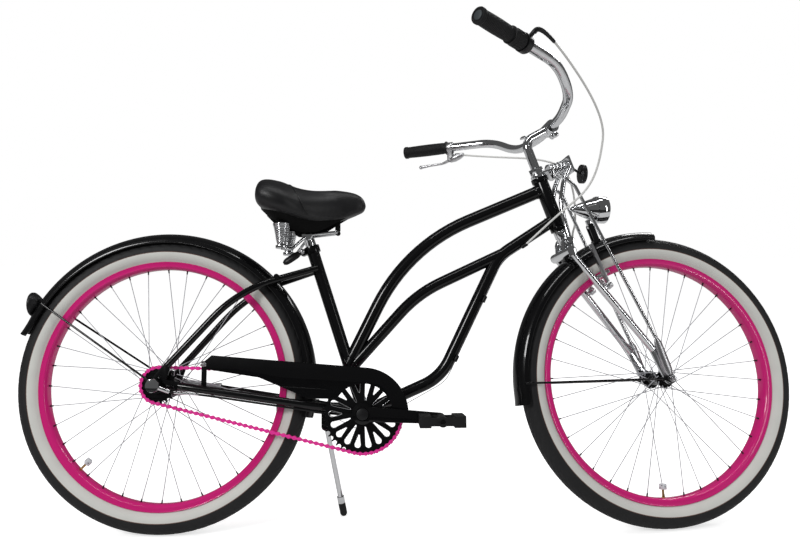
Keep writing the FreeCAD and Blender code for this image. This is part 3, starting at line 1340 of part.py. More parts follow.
def cushion_section(ahead, half, low_rise, top_rise):
    """One cross section of the cushion: flat base, drawn-in sides and a crowned top with a middle dip."""
    x = SADDLE_CLAMP.x + ahead
    low = SADDLE_PAN_Z + low_rise
    top = SADDLE_PAN_Z + top_rise
    base = max(SADDLE_PAN_Z + SADDLE_PAN_THICKNESS + RUNNING, low - 30)
    height = top - low
    inner = half * 0.62
    side_low = (half * 0.93, low)
    side_mid = (half, low + height * 0.34)
    side_top = (half * 0.9, low + height * 0.62)
    crown = (half * 0.5, top - height * 0.06)
    edges = []
    edges += polyline([V(x, -inner, base), V(x, inner, base), V(x, side_low[0], side_low[1])])
    edges.append(Part.Arc(V(x, *side_low), V(x, *side_mid), V(x, *side_top)).toShape())
    edges.append(Part.Arc(V(x, *side_top), V(x, *crown), V(x, 0, top)).toShape())
    edges.append(Part.Arc(V(x, 0, top), V(x, -crown[0], crown[1]), V(x, -side_top[0], side_top[1])).toShape())
    edges.append(Part.Arc(V(x, -side_top[0], side_top[1]), V(x, -side_mid[0], side_mid[1]),
                          V(x, -side_low[0], side_low[1])).toShape())
    edges += polyline([V(x, -side_low[0], side_low[1]), V(x, -inner, base)])
    return Part.Wire(edges)


def saddle_cushion():
    """Wide spring-saddle cushion, lofted through its cross sections from back to nose."""
    stations = [(-125, 62, 60, 79), (-111, 96, 40, 108), (-85, 117, 19, 118), (-47, 118, 8, 102), (-7, 94, 5, 85),
                (33, 60, 6, 85), (73, 40, 11, 86), (109, 29, 22, 79), (137, 15, 37, 54)]
    cushion = Part.makeLoft([cushion_section(*station) for station in stations], True, False)
    floor = SADDLE_PAN_Z + SADDLE_PAN_THICKNESS + RUNNING
    box = cushion.BoundBox
    below = Part.makeBox(2 * box.XLength, 2 * box.YLength, floor, V(box.XMin - box.XLength / 2, -box.YLength, 0))
    return largest(cushion.cut(below))


# Springer fork, drawn in the fork's own frame

def steerer():
    """Steering tube with a shoulder under the lower cup and the eye of the fork's pivot."""
    shaft = upright_rod(STEERER_RADIUS, -CUP_HEIGHT - SEAT, STEERER_TOP)
    shoulder = upright_rod(CROWN_RACE_RADIUS, PIVOT_Z + CHEEK_RADIUS + 1, -CUP_HEIGHT - SEAT)
    neck = upright_rod(PIVOT_EYE_WIDTH / 2 - 1, PIVOT_Z, -CUP_HEIGHT - SEAT)
    eye = cross_rod(0, PIVOT_Z, PIVOT_EYE_RADIUS, -PIVOT_EYE_WIDTH / 2, PIVOT_EYE_WIDTH / 2)
    tube = fuse([shaft, shoulder, neck, eye])
    bore = upright_rod(STEERER_RADIUS - STEERER_WALL, -CUP_HEIGHT, STEERER_TOP)
    pin = cross_rod(0, PIVOT_Z, PIVOT_RADIUS, -PIVOT_EYE_WIDTH, PIVOT_EYE_WIDTH)
    return tube.cut([bore, pin])


def headset_nut():
    """Lock nut over the upper cup, the spring's perch with its flange, the spring bolt and the ball nut."""
    low = HEAD_TUBE_LENGTH + CUP_HEIGHT + SEAT
    bore = upright_rod(STEERER_RADIUS + RUNNING, low, STEERER_TOP)
    cup = upright_rod(CUP_RADIUS - 2, low, PERCH_Z).cut(bore)
    top = hexagon_nut(V(0, 0, PERCH_Z + PERCH_THICKNESS), V(0, 0, 1), LOCK_NUT_FLATS, STEERER_TOP - PERCH_Z - PERCH_THICKNESS)
    reach = SPRING_BACK - PERCH_THICKNESS
    plate = Part.makeBox(reach, 2 * PERCH_HALF, PERCH_THICKNESS, V(0, -PERCH_HALF, PERCH_Z))
    plate = fuse([plate, Part.makeCylinder(PERCH_HALF, PERCH_THICKNESS, V(0, 0, PERCH_Z))])
    half = SPRING_RADIUS + SPRING_WIRE + 1
    flange = Part.makeCylinder(half, PERCH_THICKNESS, V(reach, 0, SPRING_Z), V(1, 0, 0))
    perch = fuse([plate, flange]).cut(bore)
    bolt = Part.makeCylinder(SPRING_BOLT_RADIUS, SPRING_LENGTH + YOKE_PLATE + 2 * SPRING_BALL_RADIUS + PERCH_THICKNESS,
                             V(reach, 0, SPRING_Z), V(1, 0, 0))
    perch = perch.cut(bolt)
    ball_x = SPRING_BACK + SPRING_LENGTH + YOKE_PLATE + SPRING_BALL_RADIUS + 1
    ball = Part.makeSphere(SPRING_BALL_RADIUS, V(ball_x, 0, SPRING_Z)).cut(bolt)
    return Part.makeCompound([cup, top.cut(bore), largest(perch), bolt, ball])


def blade_point(distance, side):
    """A point along a fork blade's axis, measured down from the crown."""
    top = V(CROWN_X, side * BLADE_TOP_Y, CROWN_Z)
    foot = V(BLADE_FOOT.x, side * (FORK_END_Y + FORK_END_THICKNESS / 2), BLADE_FOOT.z)
    return top + (foot - top).normalize() * distance


def brake_forward():
    """Way that the brake bosses point, across the blades in the wheel's plane."""
    down = V(BLADE_FOOT.x - CROWN_X, 0, BLADE_FOOT.z - CROWN_Z).normalize()
    return V(-down.z, 0, down.x)


def brake_boss(side):
    """Centre of a brake boss, placed so that its pad meets the rim."""
    down = V(BLADE_FOOT.x - CROWN_X, 0, BLADE_FOOT.z - CROWN_Z).normalize()
    start = V(CROWN_X, 0, CROWN_Z) + brake_forward() * BRAKE_FORWARD - FORK_AXLE
    pad_radius = RIM_RADIUS - RIM_DEPTH / 2 + 1.5
    along = start.dot(down)
    reach = -along - math.sqrt(along ** 2 - start.dot(start) + pad_radius ** 2)
    place = start + down * (reach + BRAKE_PAD_ARM) + FORK_AXLE
    blade = blade_point(reach + BRAKE_PAD_ARM, side)
    return V(place.x, blade.y, place.z)


def fork_end(side):
    """End plate of a fork blade, bored for the axle."""
    y = FORK_END_Y if side > 0 else -FORK_END_Y - FORK_END_THICKNESS
    plate = link_face(V(BLADE_FOOT.x, y, BLADE_FOOT.z), BLADE_RADIUS, V(FORK_AXLE.x, y, FORK_AXLE.z), FORK_END_RADIUS)
    plate = plate.extrude(V(0, FORK_END_THICKNESS, 0))
    return plate.cut(axle_hole())


def axle_hole():
    """Round space for the front axle."""
    return cross_rod(FORK_AXLE.x, FORK_AXLE.z, AXLE_RADIUS + SEAT / 3, -4 * FORK_END_Y, 4 * FORK_END_Y)


def crown_bar(radius):
    """The fork crown's cross bar."""
    reach = BLADE_TOP_Y + BLADE_RADIUS + 3
    return cross_rod(CROWN_X, CROWN_Z, radius, -reach, reach)


def fork_blades():
    """Crown with two pivot cheeks, two blades with end plates and brake bosses, and the pivot bolt."""
    inner = PIVOT_EYE_WIDTH / 2 + SEAT
    solids = [crown_bar(CROWN_RADIUS)]
    for side in (-1, 1):
        y = inner if side > 0 else -inner - CHEEK_THICKNESS
        cheek = link_face(V(0, y, PIVOT_Z), CHEEK_RADIUS, V(CROWN_X, y, CROWN_Z), CROWN_RADIUS - 1)
        solids.append(cheek.extrude(V(0, CHEEK_THICKNESS, 0)))
        foot = V(BLADE_FOOT.x, side * (FORK_END_Y + FORK_END_THICKNESS / 2), BLADE_FOOT.z)
        solids.append(rod(V(CROWN_X, side * BLADE_TOP_Y, CROWN_Z), foot, BLADE_RADIUS))
        solids.append(fork_end(side))
        boss = brake_boss(side)
        solids.append(rod(boss - brake_forward() * BRAKE_FORWARD, boss + brake_forward() * BRAKE_HUB / 2, BRAKE_BOSS_RADIUS))
    hole = cross_rod(0, PIVOT_Z, PIVOT_RADIUS, -YOKE_Y, YOKE_Y)
    fork = fuse(solids).cut(hole)
    reach = YOKE_Y + YOKE_RADIUS
    bolt = cross_rod(0, PIVOT_Z, PIVOT_RADIUS - RUNNING, -reach, reach)
    head = hexagon_nut(V(0, -reach, PIVOT_Z), V(0, -1, 0), PIVOT_NUT_FLATS, YOKE_RADIUS)
    nut = hexagon_nut(V(0, reach, PIVOT_Z), V(0, 1, 0), PIVOT_NUT_FLATS, YOKE_RADIUS)
    return Part.makeCompound([largest(fork), bolt, head, nut])


def yoke_points(side):
    """Axis of one yoke arm from the pivot to the spring plate."""
    run = [(2, PIVOT_Z), (9, 19), (18, 54), (42, 95), (75, SPRING_Z)]
    return [V(x, side * YOKE_Y, z) for x, z in run]


def spring_yoke():
    """Two curved arms from the pivot to the plate that the spring bears on."""
    front = SPRING_BACK + SPRING_LENGTH
    half = SPRING_RADIUS + SPRING_WIRE + 1
    wide = YOKE_Y + YOKE_RADIUS
    plate = Part.makeBox(YOKE_PLATE, 2 * wide, 2 * half, V(front, -wide, SPRING_Z - half))
    slot = Part.makeBox(YOKE_PLATE, 3 * SPRING_BOLT_RADIUS, 5 * SPRING_BOLT_RADIUS,
                        V(front, -1.5 * SPRING_BOLT_RADIUS, SPRING_Z - 3 * SPRING_BOLT_RADIUS))
    solids = [plate.cut(slot)]
    for side in (-1, 1):
        low = side * YOKE_Y - YOKE_RADIUS
        solids.append(bent_rod(yoke_points(side), [60, 60, 60], YOKE_RADIUS - SEAT))
        solids.append(cross_rod(0, PIVOT_Z, PIVOT_EYE_RADIUS, low, low + 2 * YOKE_RADIUS))
    yoke = fuse(solids).cut(cross_rod(0, PIVOT_Z, PIVOT_RADIUS, -2 * YOKE_Y, 2 * YOKE_Y))
    beyond = Part.makeBox(4 * front, 4 * wide, 4 * front, V(front + YOKE_PLATE, -2 * wide, 0))
    return largest(yoke.cut(beyond))


def fork_spring():
    """Coil between the perch on the steerer and the yoke's plate."""
    coil = coil_spring(SPRING_RADIUS, SPRING_RADIUS, SPRING_LENGTH, SPRING_TURNS, SPRING_WIRE)
    coil.Placement = FreeCAD.Placement(V(SPRING_BACK, 0, SPRING_Z), FreeCAD.Rotation(V(0, 0, 1), V(1, 0, 0)))
    return coil


def truss_rods():
    """Two rods from the yoke to the axle, each ending in an eye outside the fork's end plate."""
    rods = []
    outer = FORK_END_Y + FORK_END_THICKNESS
    for side in (-1, 1):
        top_y = YOKE_Y + YOKE_RADIUS + TRUSS_RADIUS + SEAT
        low_y = outer + TRUSS_RADIUS + SEAT
        beside = V(0, side * low_y, 0)
        run = [V(44, side * top_y, 100), V(60, side * top_y, 75), FORK_AXLE + TRUSS_KNEE_OFFSET + beside,
               FORK_AXLE + TRUSS_FOOT_OFFSET + beside]
        y = outer + RUNNING if side > 0 else -outer - RUNNING - EYE_THICKNESS
        centre = FORK_AXLE + V(0, y, 0)
        eye = link_face(centre, AXLE_RADIUS * 2, centre + TRUSS_FOOT_OFFSET, TRUSS_RADIUS)
        eye = eye.extrude(V(0, EYE_THICKNESS, 0))
        rods.append(fuse([bent_rod(run, [20, 60], TRUSS_RADIUS), eye]).cut(axle_hole()))
    return Part.makeCompound(rods)


def front_fender():
    """Front fender with the tab that hangs it from the crown."""
    shell = fender(FRONT_FENDER_START, FRONT_FENDER_END)
    space = fender_space(FRONT_FENDER_START, FRONT_FENDER_END)
    shell.translate(FORK_AXLE)
    space.translate(FORK_AXLE)
    tab = Part.makeBox(14, 24, 18, V(CROWN_X - 6, -12, CROWN_Z - 17))
    tab = largest(tab.cut([space, crown_bar(CROWN_RADIUS)]))
    return Part.makeCompound([shell, tab])


def front_fender_stays():
    """Two stays with eyes on the axle, and the lamp's bracket on the fender's crown."""
    stays = at(fender_stays(FRONT_STAY_ANGLE, front_outer() - RUNNING - EYE_THICKNESS), FORK_AXLE)
    return Part.makeCompound(stays.Solids + [lamp_bracket()])


def lamp_bracket():
    """Clevis on the front fender that the lamp tilts in."""
    space = fender_space(FRONT_FENDER_START - 8, FRONT_FENDER_END)
    space.translate(FORK_AXLE)
    crown = FORK_AXLE.z + FENDER_RADIUS
    hinge = lamp_hinge()
    base = Part.makeBox(18, 4 * LAMP_EYE_HALF, 12, V(hinge.x - 9, -2 * LAMP_EYE_HALF, crown - 8))
    solids = [base]
    for y in (LAMP_EYE_HALF + SEAT, -2 * LAMP_EYE_HALF):
        cheek = link_face(V(hinge.x, y, hinge.z), LAMP_EYE_RADIUS, V(hinge.x, y, crown), LAMP_EYE_RADIUS)
        cheek = cheek.extrude(V(0, LAMP_EYE_HALF - SEAT, 0))
        solids.append(cheek)
    pin = cross_rod(hinge.x, hinge.z, LAMP_PIN_RADIUS, -2 * LAMP_EYE_HALF, 2 * LAMP_EYE_HALF)
    return largest(fuse(solids + [pin]).cut(space))


def lamp_hinge():
    """Centre of the lamp's tilt hinge."""
    return V(LAMP_X - 11, 0, LAMP_Z - LAMP_TILT_DROP)


def lamp_frame():
    """Placement of the lamp's own axis: Z forward and level when the steering is straight."""
    ahead = V(sine(HEAD_ANGLE), 0, -cosine(HEAD_ANGLE))
    tail = V(LAMP_X, 0, LAMP_Z) - ahead * (LAMP_LENGTH / 2)
    return FreeCAD.Placement(tail, FreeCAD.Rotation(V(0, 0, 1), ahead))


def headlamp_shell():
    """Bullet-shaped lamp body with a bezel and the eye of its hinge."""
    barrel = LAMP_RADIUS - LAMP_WALL / 2
    rim_z = LAMP_LENGTH - LENS_DEPTH
    edges = polyline([V(0, 0, 0), V(LAMP_TAIL_RADIUS, 0, 0)])
    edges.append(Part.Arc(V(LAMP_TAIL_RADIUS, 0, 0), V(barrel * 0.72, 0, LAMP_LENGTH * 0.22),
                          V(barrel, 0, LAMP_LENGTH * 0.62)).toShape())
    inner = barrel - LAMP_WALL
    edges += polyline([V(barrel, 0, LAMP_LENGTH * 0.62), V(barrel, 0, rim_z), V(LAMP_RADIUS + 1, 0, rim_z),
                       V(LAMP_RADIUS + 1, 0, LAMP_LENGTH), V(inner, 0, LAMP_LENGTH), V(inner, 0, LAMP_LENGTH * 0.5),
                       V(0, 0, LAMP_LENGTH * 0.4), V(0, 0, 0)])
    body = filled_face(edges).revolve(V(0, 0, 0), V(0, 0, 1), 360)
    body.Placement = lamp_frame()
    hinge = lamp_hinge()
    eye = cross_rod(hinge.x, hinge.z, LAMP_EYE_RADIUS, -LAMP_EYE_HALF, LAMP_EYE_HALF)
    lug = Part.makeBox(2 * LAMP_EYE_RADIUS, 2 * LAMP_EYE_HALF, LAMP_TILT_DROP - LAMP_RADIUS + 8,
                       V(hinge.x - LAMP_EYE_RADIUS, -LAMP_EYE_HALF, hinge.z))
    cavity = Part.makeCylinder(inner, LAMP_LENGTH * 0.5, V(0, 0, LAMP_LENGTH * 0.5))
    cavity.Placement = lamp_frame()
    hole = cross_rod(hinge.x, hinge.z, LAMP_PIN_RADIUS + RUNNING, -LAMP_RADIUS, LAMP_RADIUS)
    return largest(fuse([body, eye, lug]).cut([cavity, hole]))


def headlamp_lens():
    """Clear disc held in the bezel."""
    radius = LAMP_RADIUS - LAMP_WALL / 2 - LAMP_WALL - RUNNING
    disc = Part.makeCylinder(radius, LENS_DEPTH - 2, V(0, 0, LAMP_LENGTH - LENS_DEPTH))
    disc.Placement = lamp_frame()
    return disc


def front_reflector():
    """Round reflector on an arm from the spring's ball nut."""
    ahead = V(sine(HEAD_ANGLE), 0, -cosine(HEAD_ANGLE))
    back = V(REFLECTOR_X, 0, REFLECTOR_Z)
    disc = Part.makeCylinder(REFLECTOR_RADIUS, REFLECTOR_THICKNESS, back, ahead)
    ball_x = SPRING_BACK + SPRING_LENGTH + YOKE_PLATE + SPRING_BALL_RADIUS + 1
    ball = V(ball_x, 0, SPRING_Z)
    arm = rod(ball, back + ahead, 3)
    seat = Part.makeSphere(SPRING_BALL_RADIUS, ball)
    bolt = Part.makeCylinder(SPRING_BOLT_RADIUS, 2 * ball_x, V(0, 0, SPRING_Z), V(1, 0, 0))
    return largest(fuse([disc, arm]).cut([seat, bolt]))


def brake_arm(side):
    """Linear-pull brake arm on its boss, with the shoe's holder and pad."""
    boss = brake_boss(side)
    ahead = brake_forward()
    hub = rod(boss - ahead * BRAKE_HUB / 2, boss + ahead * BRAKE_HUB / 2, BRAKE_BOSS_RADIUS + 4)
    bore = rod(boss - ahead * BRAKE_FORWARD, boss + ahead * BRAKE_FORWARD, BRAKE_BOSS_RADIUS + RUNNING)
    width = 2 * BRAKE_BOSS_RADIUS
    bar = Part.makeBox(BRAKE_HUB * 0.7, width, BRAKE_ARM_LENGTH, V(-BRAKE_HUB * 0.35, -width / 2, 0))
    bar.Placement = FreeCAD.Placement(boss, FreeCAD.Rotation(V(0, 1, 0), -BRAKE_ARM_TILT))
    arm = fuse([hub, bar]).cut(bore)
    shoe_x = boss.x - BRAKE_PAD_ARM * sine(BRAKE_ARM_TILT)
    shoe_z = boss.z + BRAKE_PAD_ARM * cosine(BRAKE_ARM_TILT)
    face = RIM_WIDTH / 2 + BRAKE_PAD_GAP
    back = face + BRAKE_PAD_THICKNESS
    radial = V(shoe_x, 0, shoe_z) - FORK_AXLE
    turn = FreeCAD.Rotation(V(0, 0, 1), radial)
    depth = RIM_RADIUS - RIM_DEPTH / 2 - radial.Length
    pad = Part.makeBox(BRAKE_PAD_LENGTH, BRAKE_PAD_THICKNESS, BRAKE_PAD_HEIGHT,
                       V(-BRAKE_PAD_LENGTH / 2, face, depth - BRAKE_PAD_HEIGHT / 2 + 1.5))
    pad.Placement = FreeCAD.Placement(V(shoe_x, 0, shoe_z), turn)
    holder = cross_rod(shoe_x, shoe_z, BRAKE_BOSS_RADIUS - 1, back, abs(boss.y) - width / 2)
    if side < 0:
        pad = pad.mirror(V(0, 0, 0), V(0, 1, 0))
        holder = holder.mirror(V(0, 0, 0), V(0, 1, 0))
    return Part.makeCompound([arm, holder, pad])


# Cockpit, drawn in the fork's own frame

def stem():
    """Quill stem that bends forward to the bar's clamp."""
    path = [V(0, 0, STEERER_TOP - STEM_INSERT), V(0, 0, STEM_TOP), BAR_CENTRE]
    quill = bent_rod(path, [STEM_BEND_RADIUS], STEERER_RADIUS - STEERER_WALL - RUNNING)
    clamp = cross_rod(BAR_X, BAR_Z, STEM_CLAMP_RADIUS, -STEM_CLAMP_WIDTH / 2, STEM_CLAMP_WIDTH / 2)
    bore = cross_rod(BAR_X, BAR_Z, BAR_RADIUS + RUNNING, -STEM_CLAMP_WIDTH, STEM_CLAMP_WIDTH)
    return largest(fuse([quill, clamp]).cut(bore))


def handlebar():
    """Swept-back bar with three bends on each side."""
    left = [BAR_KNEE, BAR_SHOULDER, BAR_ELBOW, BAR_END]
    points = [BAR_CENTRE + mirrored(point) for point in left[::-1]]
    points += [BAR_CENTRE + point for point in left]
    radii = [BAR_ELBOW_RADIUS, BAR_SHOULDER_RADIUS, BAR_KNEE_RADIUS]
    return bent_tube(points, radii + radii[::-1], BAR_RADIUS, BAR_WALL)


def bar_point(side, distance):
    """A point on the bar's axis, measured in from its left or right end."""
    inward = (BAR_ELBOW - BAR_END).normalize()
    point = BAR_END + inward * distance
    point = point if side > 0 else mirrored(point)
    return BAR_CENTRE + point


def bar_sleeve(side, near, far, radius):
    """A ring on the bar between two distances from its end."""
    ring = rod(bar_point(side, near), bar_point(side, far), radius)
    return ring.cut(rod(bar_point(side, near), bar_point(side, far), BAR_RADIUS + RUNNING))


def grip(side, length):
    """Rubber grip with a flange at its inner end and a closed outer end."""
    sleeve = bar_sleeve(side, 0, length - GRIP_FLANGE, GRIP_RADIUS)
    flange = bar_sleeve(side, length - GRIP_FLANGE, length, GRIP_FLANGE_RADIUS)
    cap = rod(bar_point(side, -GRIP_FLANGE), bar_point(side, 0), GRIP_RADIUS)
    return fuse([sleeve, flange, cap])


def grips():
    return Part.makeCompound([grip(1, GRIP_LENGTH), grip(-1, SHORT_GRIP_LENGTH)])


def shifter_grip():
    """Ribbed ring that turns on the bar to change gear."""
    near = SHORT_GRIP_LENGTH + SEAT
    ring = bar_sleeve(-1, near, near + TWIST_LENGTH, TWIST_RADIUS)
    grooves = []
    count = 10
    axis = (bar_point(-1, 1) - bar_point(-1, 0)).normalize()
    side = axis.cross(V(0, 0, 1)).normalize()
    for index in range(count):
        way = FreeCAD.Rotation(axis, index * 360.0 / count).multVec(side) * (TWIST_RADIUS + 1)
        start = bar_point(-1, near + 4) + way
        grooves.append(rod(start, start + axis * (TWIST_LENGTH - 8), 2.2))
    return largest(ring.cut(grooves))


def shifter_out():
    """Way that the shift cable leaves the shifter, square to the bar and forward."""
    axis = (bar_point(-1, 1) - bar_point(-1, 0)).normalize()
    return (V(1, 0, 0) - axis * axis.x).normalize()


def shifter_centre():
    return bar_point(-1, SHORT_GRIP_LENGTH + 2 * SEAT + TWIST_LENGTH + SHIFTER_LENGTH / 2)


def shifter_body():
    """Fixed housing of the twist shifter with its cable elbow."""
    near = SHORT_GRIP_LENGTH + 2 * SEAT + TWIST_LENGTH
    ring = bar_sleeve(-1, near, near + SHIFTER_LENGTH, SHIFTER_RADIUS)
    start = shifter_centre() + shifter_out() * (BAR_RADIUS + 4)
    elbow = rod(start, shifter_centre() + shifter_out() * SHIFTER_OUTLET, CABLE_RADIUS + 2)
    return fuse([ring, elbow])


def lever_frame():
    """Placement of the brake lever: X along the bar to its end, Z away from the lever."""
    along = (BAR_END - BAR_ELBOW).normalize()
    up = (LEVER_UP - along * LEVER_UP.dot(along)).normalize()
    turn = FreeCAD.Rotation(along, up.cross(along), up, "XZY")
    return FreeCAD.Placement(bar_point(1, GRIP_LENGTH + SEAT + LEVER_CLAMP_WIDTH / 2), turn)


def lever_bracket():
    """Clamp on the bar with a clevis for the lever and a barrel for its cable."""
    half = LEVER_CLAMP_WIDTH / 2
    ring = Part.makeCylinder(BAR_RADIUS + 4, LEVER_CLAMP_WIDTH, V(-half, 0, 0), V(1, 0, 0))
    body = Part.makeBox(LEVER_CLAMP_WIDTH, 4 * LEVER_EYE_HALF, LEVER_DROP, V(-half, -2 * LEVER_EYE_HALF, -LEVER_DROP))
    end = cross_rod(0, -LEVER_DROP, half, -2 * LEVER_EYE_HALF, 2 * LEVER_EYE_HALF)
    gap = LEVER_EYE_HALF + SEAT
    slot = Part.makeBox(4 * half, 2 * gap, LEVER_DROP, V(-2 * half, -gap, -LEVER_DROP - half - 2))
    barrel = rod(V(-half + 1, 0, LEVER_CABLE_Z), V(-half - LEVER_BARREL, 0, LEVER_CABLE_Z), CABLE_RADIUS + 2)
    bore = Part.makeCylinder(BAR_RADIUS + RUNNING, 2 * LEVER_CLAMP_WIDTH, V(-2 * half, 0, 0), V(1, 0, 0))
    pin = cross_rod(0, -LEVER_DROP, LEVER_PIN_RADIUS, -2 * LEVER_EYE_HALF, 2 * LEVER_EYE_HALF)
    bracket = fuse([fuse([ring, body, end, barrel]).cut([slot, bore]), pin])
    bracket.Placement = lever_frame()
    return bracket


def brake_lever():
    """Lever blade with a pivot eye and a ball end."""
    eye = cross_rod(0, -LEVER_DROP, LEVER_CLAMP_WIDTH / 2 - 1, -LEVER_EYE_HALF, LEVER_EYE_HALF)
    run = [V(0, 0, -LEVER_DROP), V(24, 0, -LEVER_DROP - 9), V(LEVER_REACH, 0, -LEVER_DROP - 13)]
    blade = bent_rod(run, [40], LEVER_EYE_HALF - SEAT)
    ball = Part.makeSphere(LEVER_EYE_HALF + 1.5, run[-1])
    hole = cross_rod(0, -LEVER_DROP, LEVER_PIN_RADIUS + RUNNING, -LEVER_REACH, LEVER_REACH)
    lever = fuse([eye, blade, ball]).cut(hole)
    lever.Placement = lever_frame()
    return lever


# Cables

def offset_corner(before, corner, after, distance):
    """Corner of a run that keeps a distance to the right of another run in the bicycle's plane."""
    first = (corner - before).normalize()
    second = (after - corner).normalize()
    normal = (V(first.z, 0, -first.x) + V(second.z, 0, -second.x)).normalize()
    half = first.getAngle(second) / 2
    return corner + normal * (distance / math.cos(half))


def checked_sweep(name, points, radii):
    """A cable along straight runs and arcs. Prints its volume against section times length."""
    path = bent_wire(points, radii)
    cable = sweep_circle(path, CABLE_RADIUS)
    section = math.pi * CABLE_RADIUS ** 2
    print(name, "bend radii", radii, "volume ratio", round(cable.Volume / (section * path.Length), 4))
    return cable


def shift_cable():
    """Cable from the shifter, round the head tube, along the down tube and the chain stay to the hub."""
    steered = FORK_FRAME.multiply(STEER)
    centre = shifter_centre()
    start = steered.multVec(centre + shifter_out() * SHIFTER_OUTLET)
    out = steered.multVec(centre + shifter_out() * (SHIFTER_OUTLET + 22))
    tube = down_tube_points()
    side = V(0, -DOWN_TUBE_CABLE, 0)
    upper = offset_corner(tube[0], tube[1], tube[2], -DOWN_TUBE_CABLE) + side
    lower = offset_corner(tube[1], tube[2], tube[3], -DOWN_TUBE_CABLE) + side
    down = (tube[1] - tube[0]).normalize()
    entry = upper - down * 62
    under = V(BRACKET.x - 10, -DOWN_TUBE_CABLE - 4, BRACKET.z - BRACKET_RADIUS - CABLE_RADIUS - BRACKET_CABLE_DROP)
    stay = chain_stay_points(-1)
    drop = V(0, 0, -CHAIN_STAY_RADIUS - CABLE_RADIUS - 2 * SEAT)
    share = 0.2
    leave = stay[0] + (stay[1] - stay[0]) * share + drop
    end = SHIFT_ARM - V(0, rear_outer() + 2 * AXLE_NUT_LENGTH, 0)
    end = end + V(4, 0, -1)
    points = [start, out, V(1010, -150, 587), V(1008, -100, 494), V(985, -70, 435), V(922, -45, 386), entry, upper, lower,
              under, stay[2] + drop, stay[1] + drop, leave, end]
    radii = [16, 90, 90, 60, 60, 40, 101, 135, 60, 40, 40, 60]
    return checked_sweep("shift cable", points, radii)


def brake_cable():
    """Cable from the lever's barrel, in front of the bar, down outside the left truss rod to the brake arm."""
    frame = lever_frame()
    half = LEVER_CLAMP_WIDTH / 2
    start = frame.multVec(V(-half - LEVER_BARREL - 2 * SEAT, 0, LEVER_CABLE_Z))
    out = frame.multVec(V(-half - LEVER_BARREL - 60, 0, LEVER_CABLE_Z - 12))
    boss = brake_boss(1)
    top = boss + V(-sine(BRAKE_ARM_TILT), 0, cosine(BRAKE_ARM_TILT)) * (BRAKE_ARM_LENGTH + SEAT + CABLE_RADIUS / 2)
    points = [start, out, V(95, 62, 170), V(112, 62, 100), V(80, 64, 0), top + V(12, 8, 40), top]
    return checked_sweep("brake cable", points, [90, 60, 40, 60, 30])


# Kickstand and the way the bicycle stands

def stand_eye():
    return BRACKET + STAND_TOP


def stand_plate():
    """Block under the left chain stay with the pin that the leg folds on."""
    top = stand_eye()
    inner = top.y - STAND_EYE_HALF - SEAT
    face = link_face(V(top.x, inner - STAND_LUG, top.z), STAND_EYE_RADIUS, V(top.x, inner - STAND_LUG, top.z + 46),
                     STAND_EYE_RADIUS)
    lug = face.extrude(V(0, STAND_LUG, 0))
    pin = cross_rod(top.x, top.z, STAND_RADIUS - 1, inner - STAND_LUG, top.y + STAND_EYE_HALF + 2)
    return largest(fuse([lug, pin]).cut([chain_stay_space(1), chain_stay_space(-1)]))


def stand_foot():
    """Centre of the rubber foot's round end, where it just reaches the ground."""
    low = V(BRACKET.x - STAND_FOOT_SETBACK, STAND_FOOT_Y, -WHEEL_RADIUS)
    high = low + V(0, 0, 100)
    stance = upright_stance()
    low_z = stance.multVec(low).z - STAND_RUBBER_RADIUS
    high_z = stance.multVec(high).z - STAND_RUBBER_RADIUS
    return low + V(0, 0, 100) * (-low_z / (high_z - low_z))


def kickstand_leg():
    top = stand_eye()
    foot = stand_foot()
    way = (foot - top).normalize()
    leg = rod(top, foot - way * STAND_RUBBER_RADIUS, STAND_RADIUS)
    eye = cross_rod(top.x, top.z, STAND_EYE_RADIUS, top.y - STAND_EYE_HALF, top.y + STAND_EYE_HALF)
    collar = rod(foot - way * (STAND_RUBBER_LENGTH + 16), foot - way * STAND_RUBBER_LENGTH, STAND_RUBBER_RADIUS)
    hole = cross_rod(top.x, top.z, STAND_RADIUS - 1 + RUNNING, top.y - 2 * STAND_EYE_HALF, top.y + 2 * STAND_EYE_HALF)
    return fuse([leg, eye, collar]).cut(hole)


def kickstand_foot():
    foot = stand_foot()
    way = (foot - stand_eye()).normalize()
    rubber = rod(foot - way * (STAND_RUBBER_LENGTH - SEAT), foot, STAND_RUBBER_RADIUS)
    rubber = fuse([rubber, Part.makeSphere(STAND_RUBBER_RADIUS, foot)])
    return rubber.cut(rod(stand_eye(), foot - way * (STAND_RUBBER_RADIUS - RUNNING), STAND_RADIUS))


def tyre_low(placement, centre):
    """Lowest height of a tyre after a placement, drawn about the Y axis at a centre."""
    middle = placement.multVec(centre)
    axle = placement.Rotation.multVec(V(0, 1, 0))
    return middle.z - (WHEEL_RADIUS - TYRE_RADIUS) * math.sqrt(1 - axle.z ** 2) - TYRE_RADIUS


def upright_stance():
    """Lean, then tip so that both tyres stand on z = 0."""
    ground = V(0, 0, WHEEL_RADIUS)
    lean = FreeCAD.Placement(V(0, 0, 0), FreeCAD.Rotation(V(1, 0, 0), -LEAN_ANGLE))
    stance = lean.multiply(FreeCAD.Placement(ground, FreeCAD.Rotation()))
    steered = FORK_FRAME.multiply(STEER)
    for turn in range(4):
        rear = tyre_low(stance, V(0, 0, 0))
        front = tyre_low(stance.multiply(steered), FORK_AXLE)
        tip = math.degrees(math.atan2(front - rear, WHEELBASE))
        pitch = FreeCAD.Placement(V(0, 0, 0), FreeCAD.Rotation(V(0, 1, 0), tip))
        stance = FreeCAD.Placement(V(0, 0, -rear), FreeCAD.Rotation()).multiply(stance)
        stance = pitch.multiply(stance)
    rear = tyre_low(stance, V(0, 0, 0))
    return FreeCAD.Placement(V(0, 0, -rear), FreeCAD.Rotation()).multiply(stance)


# Assembly

def at(shape, point):
    """A copy of a shape moved to a point."""
    copy = shape.copy()
    copy.translate(point)
    return copy


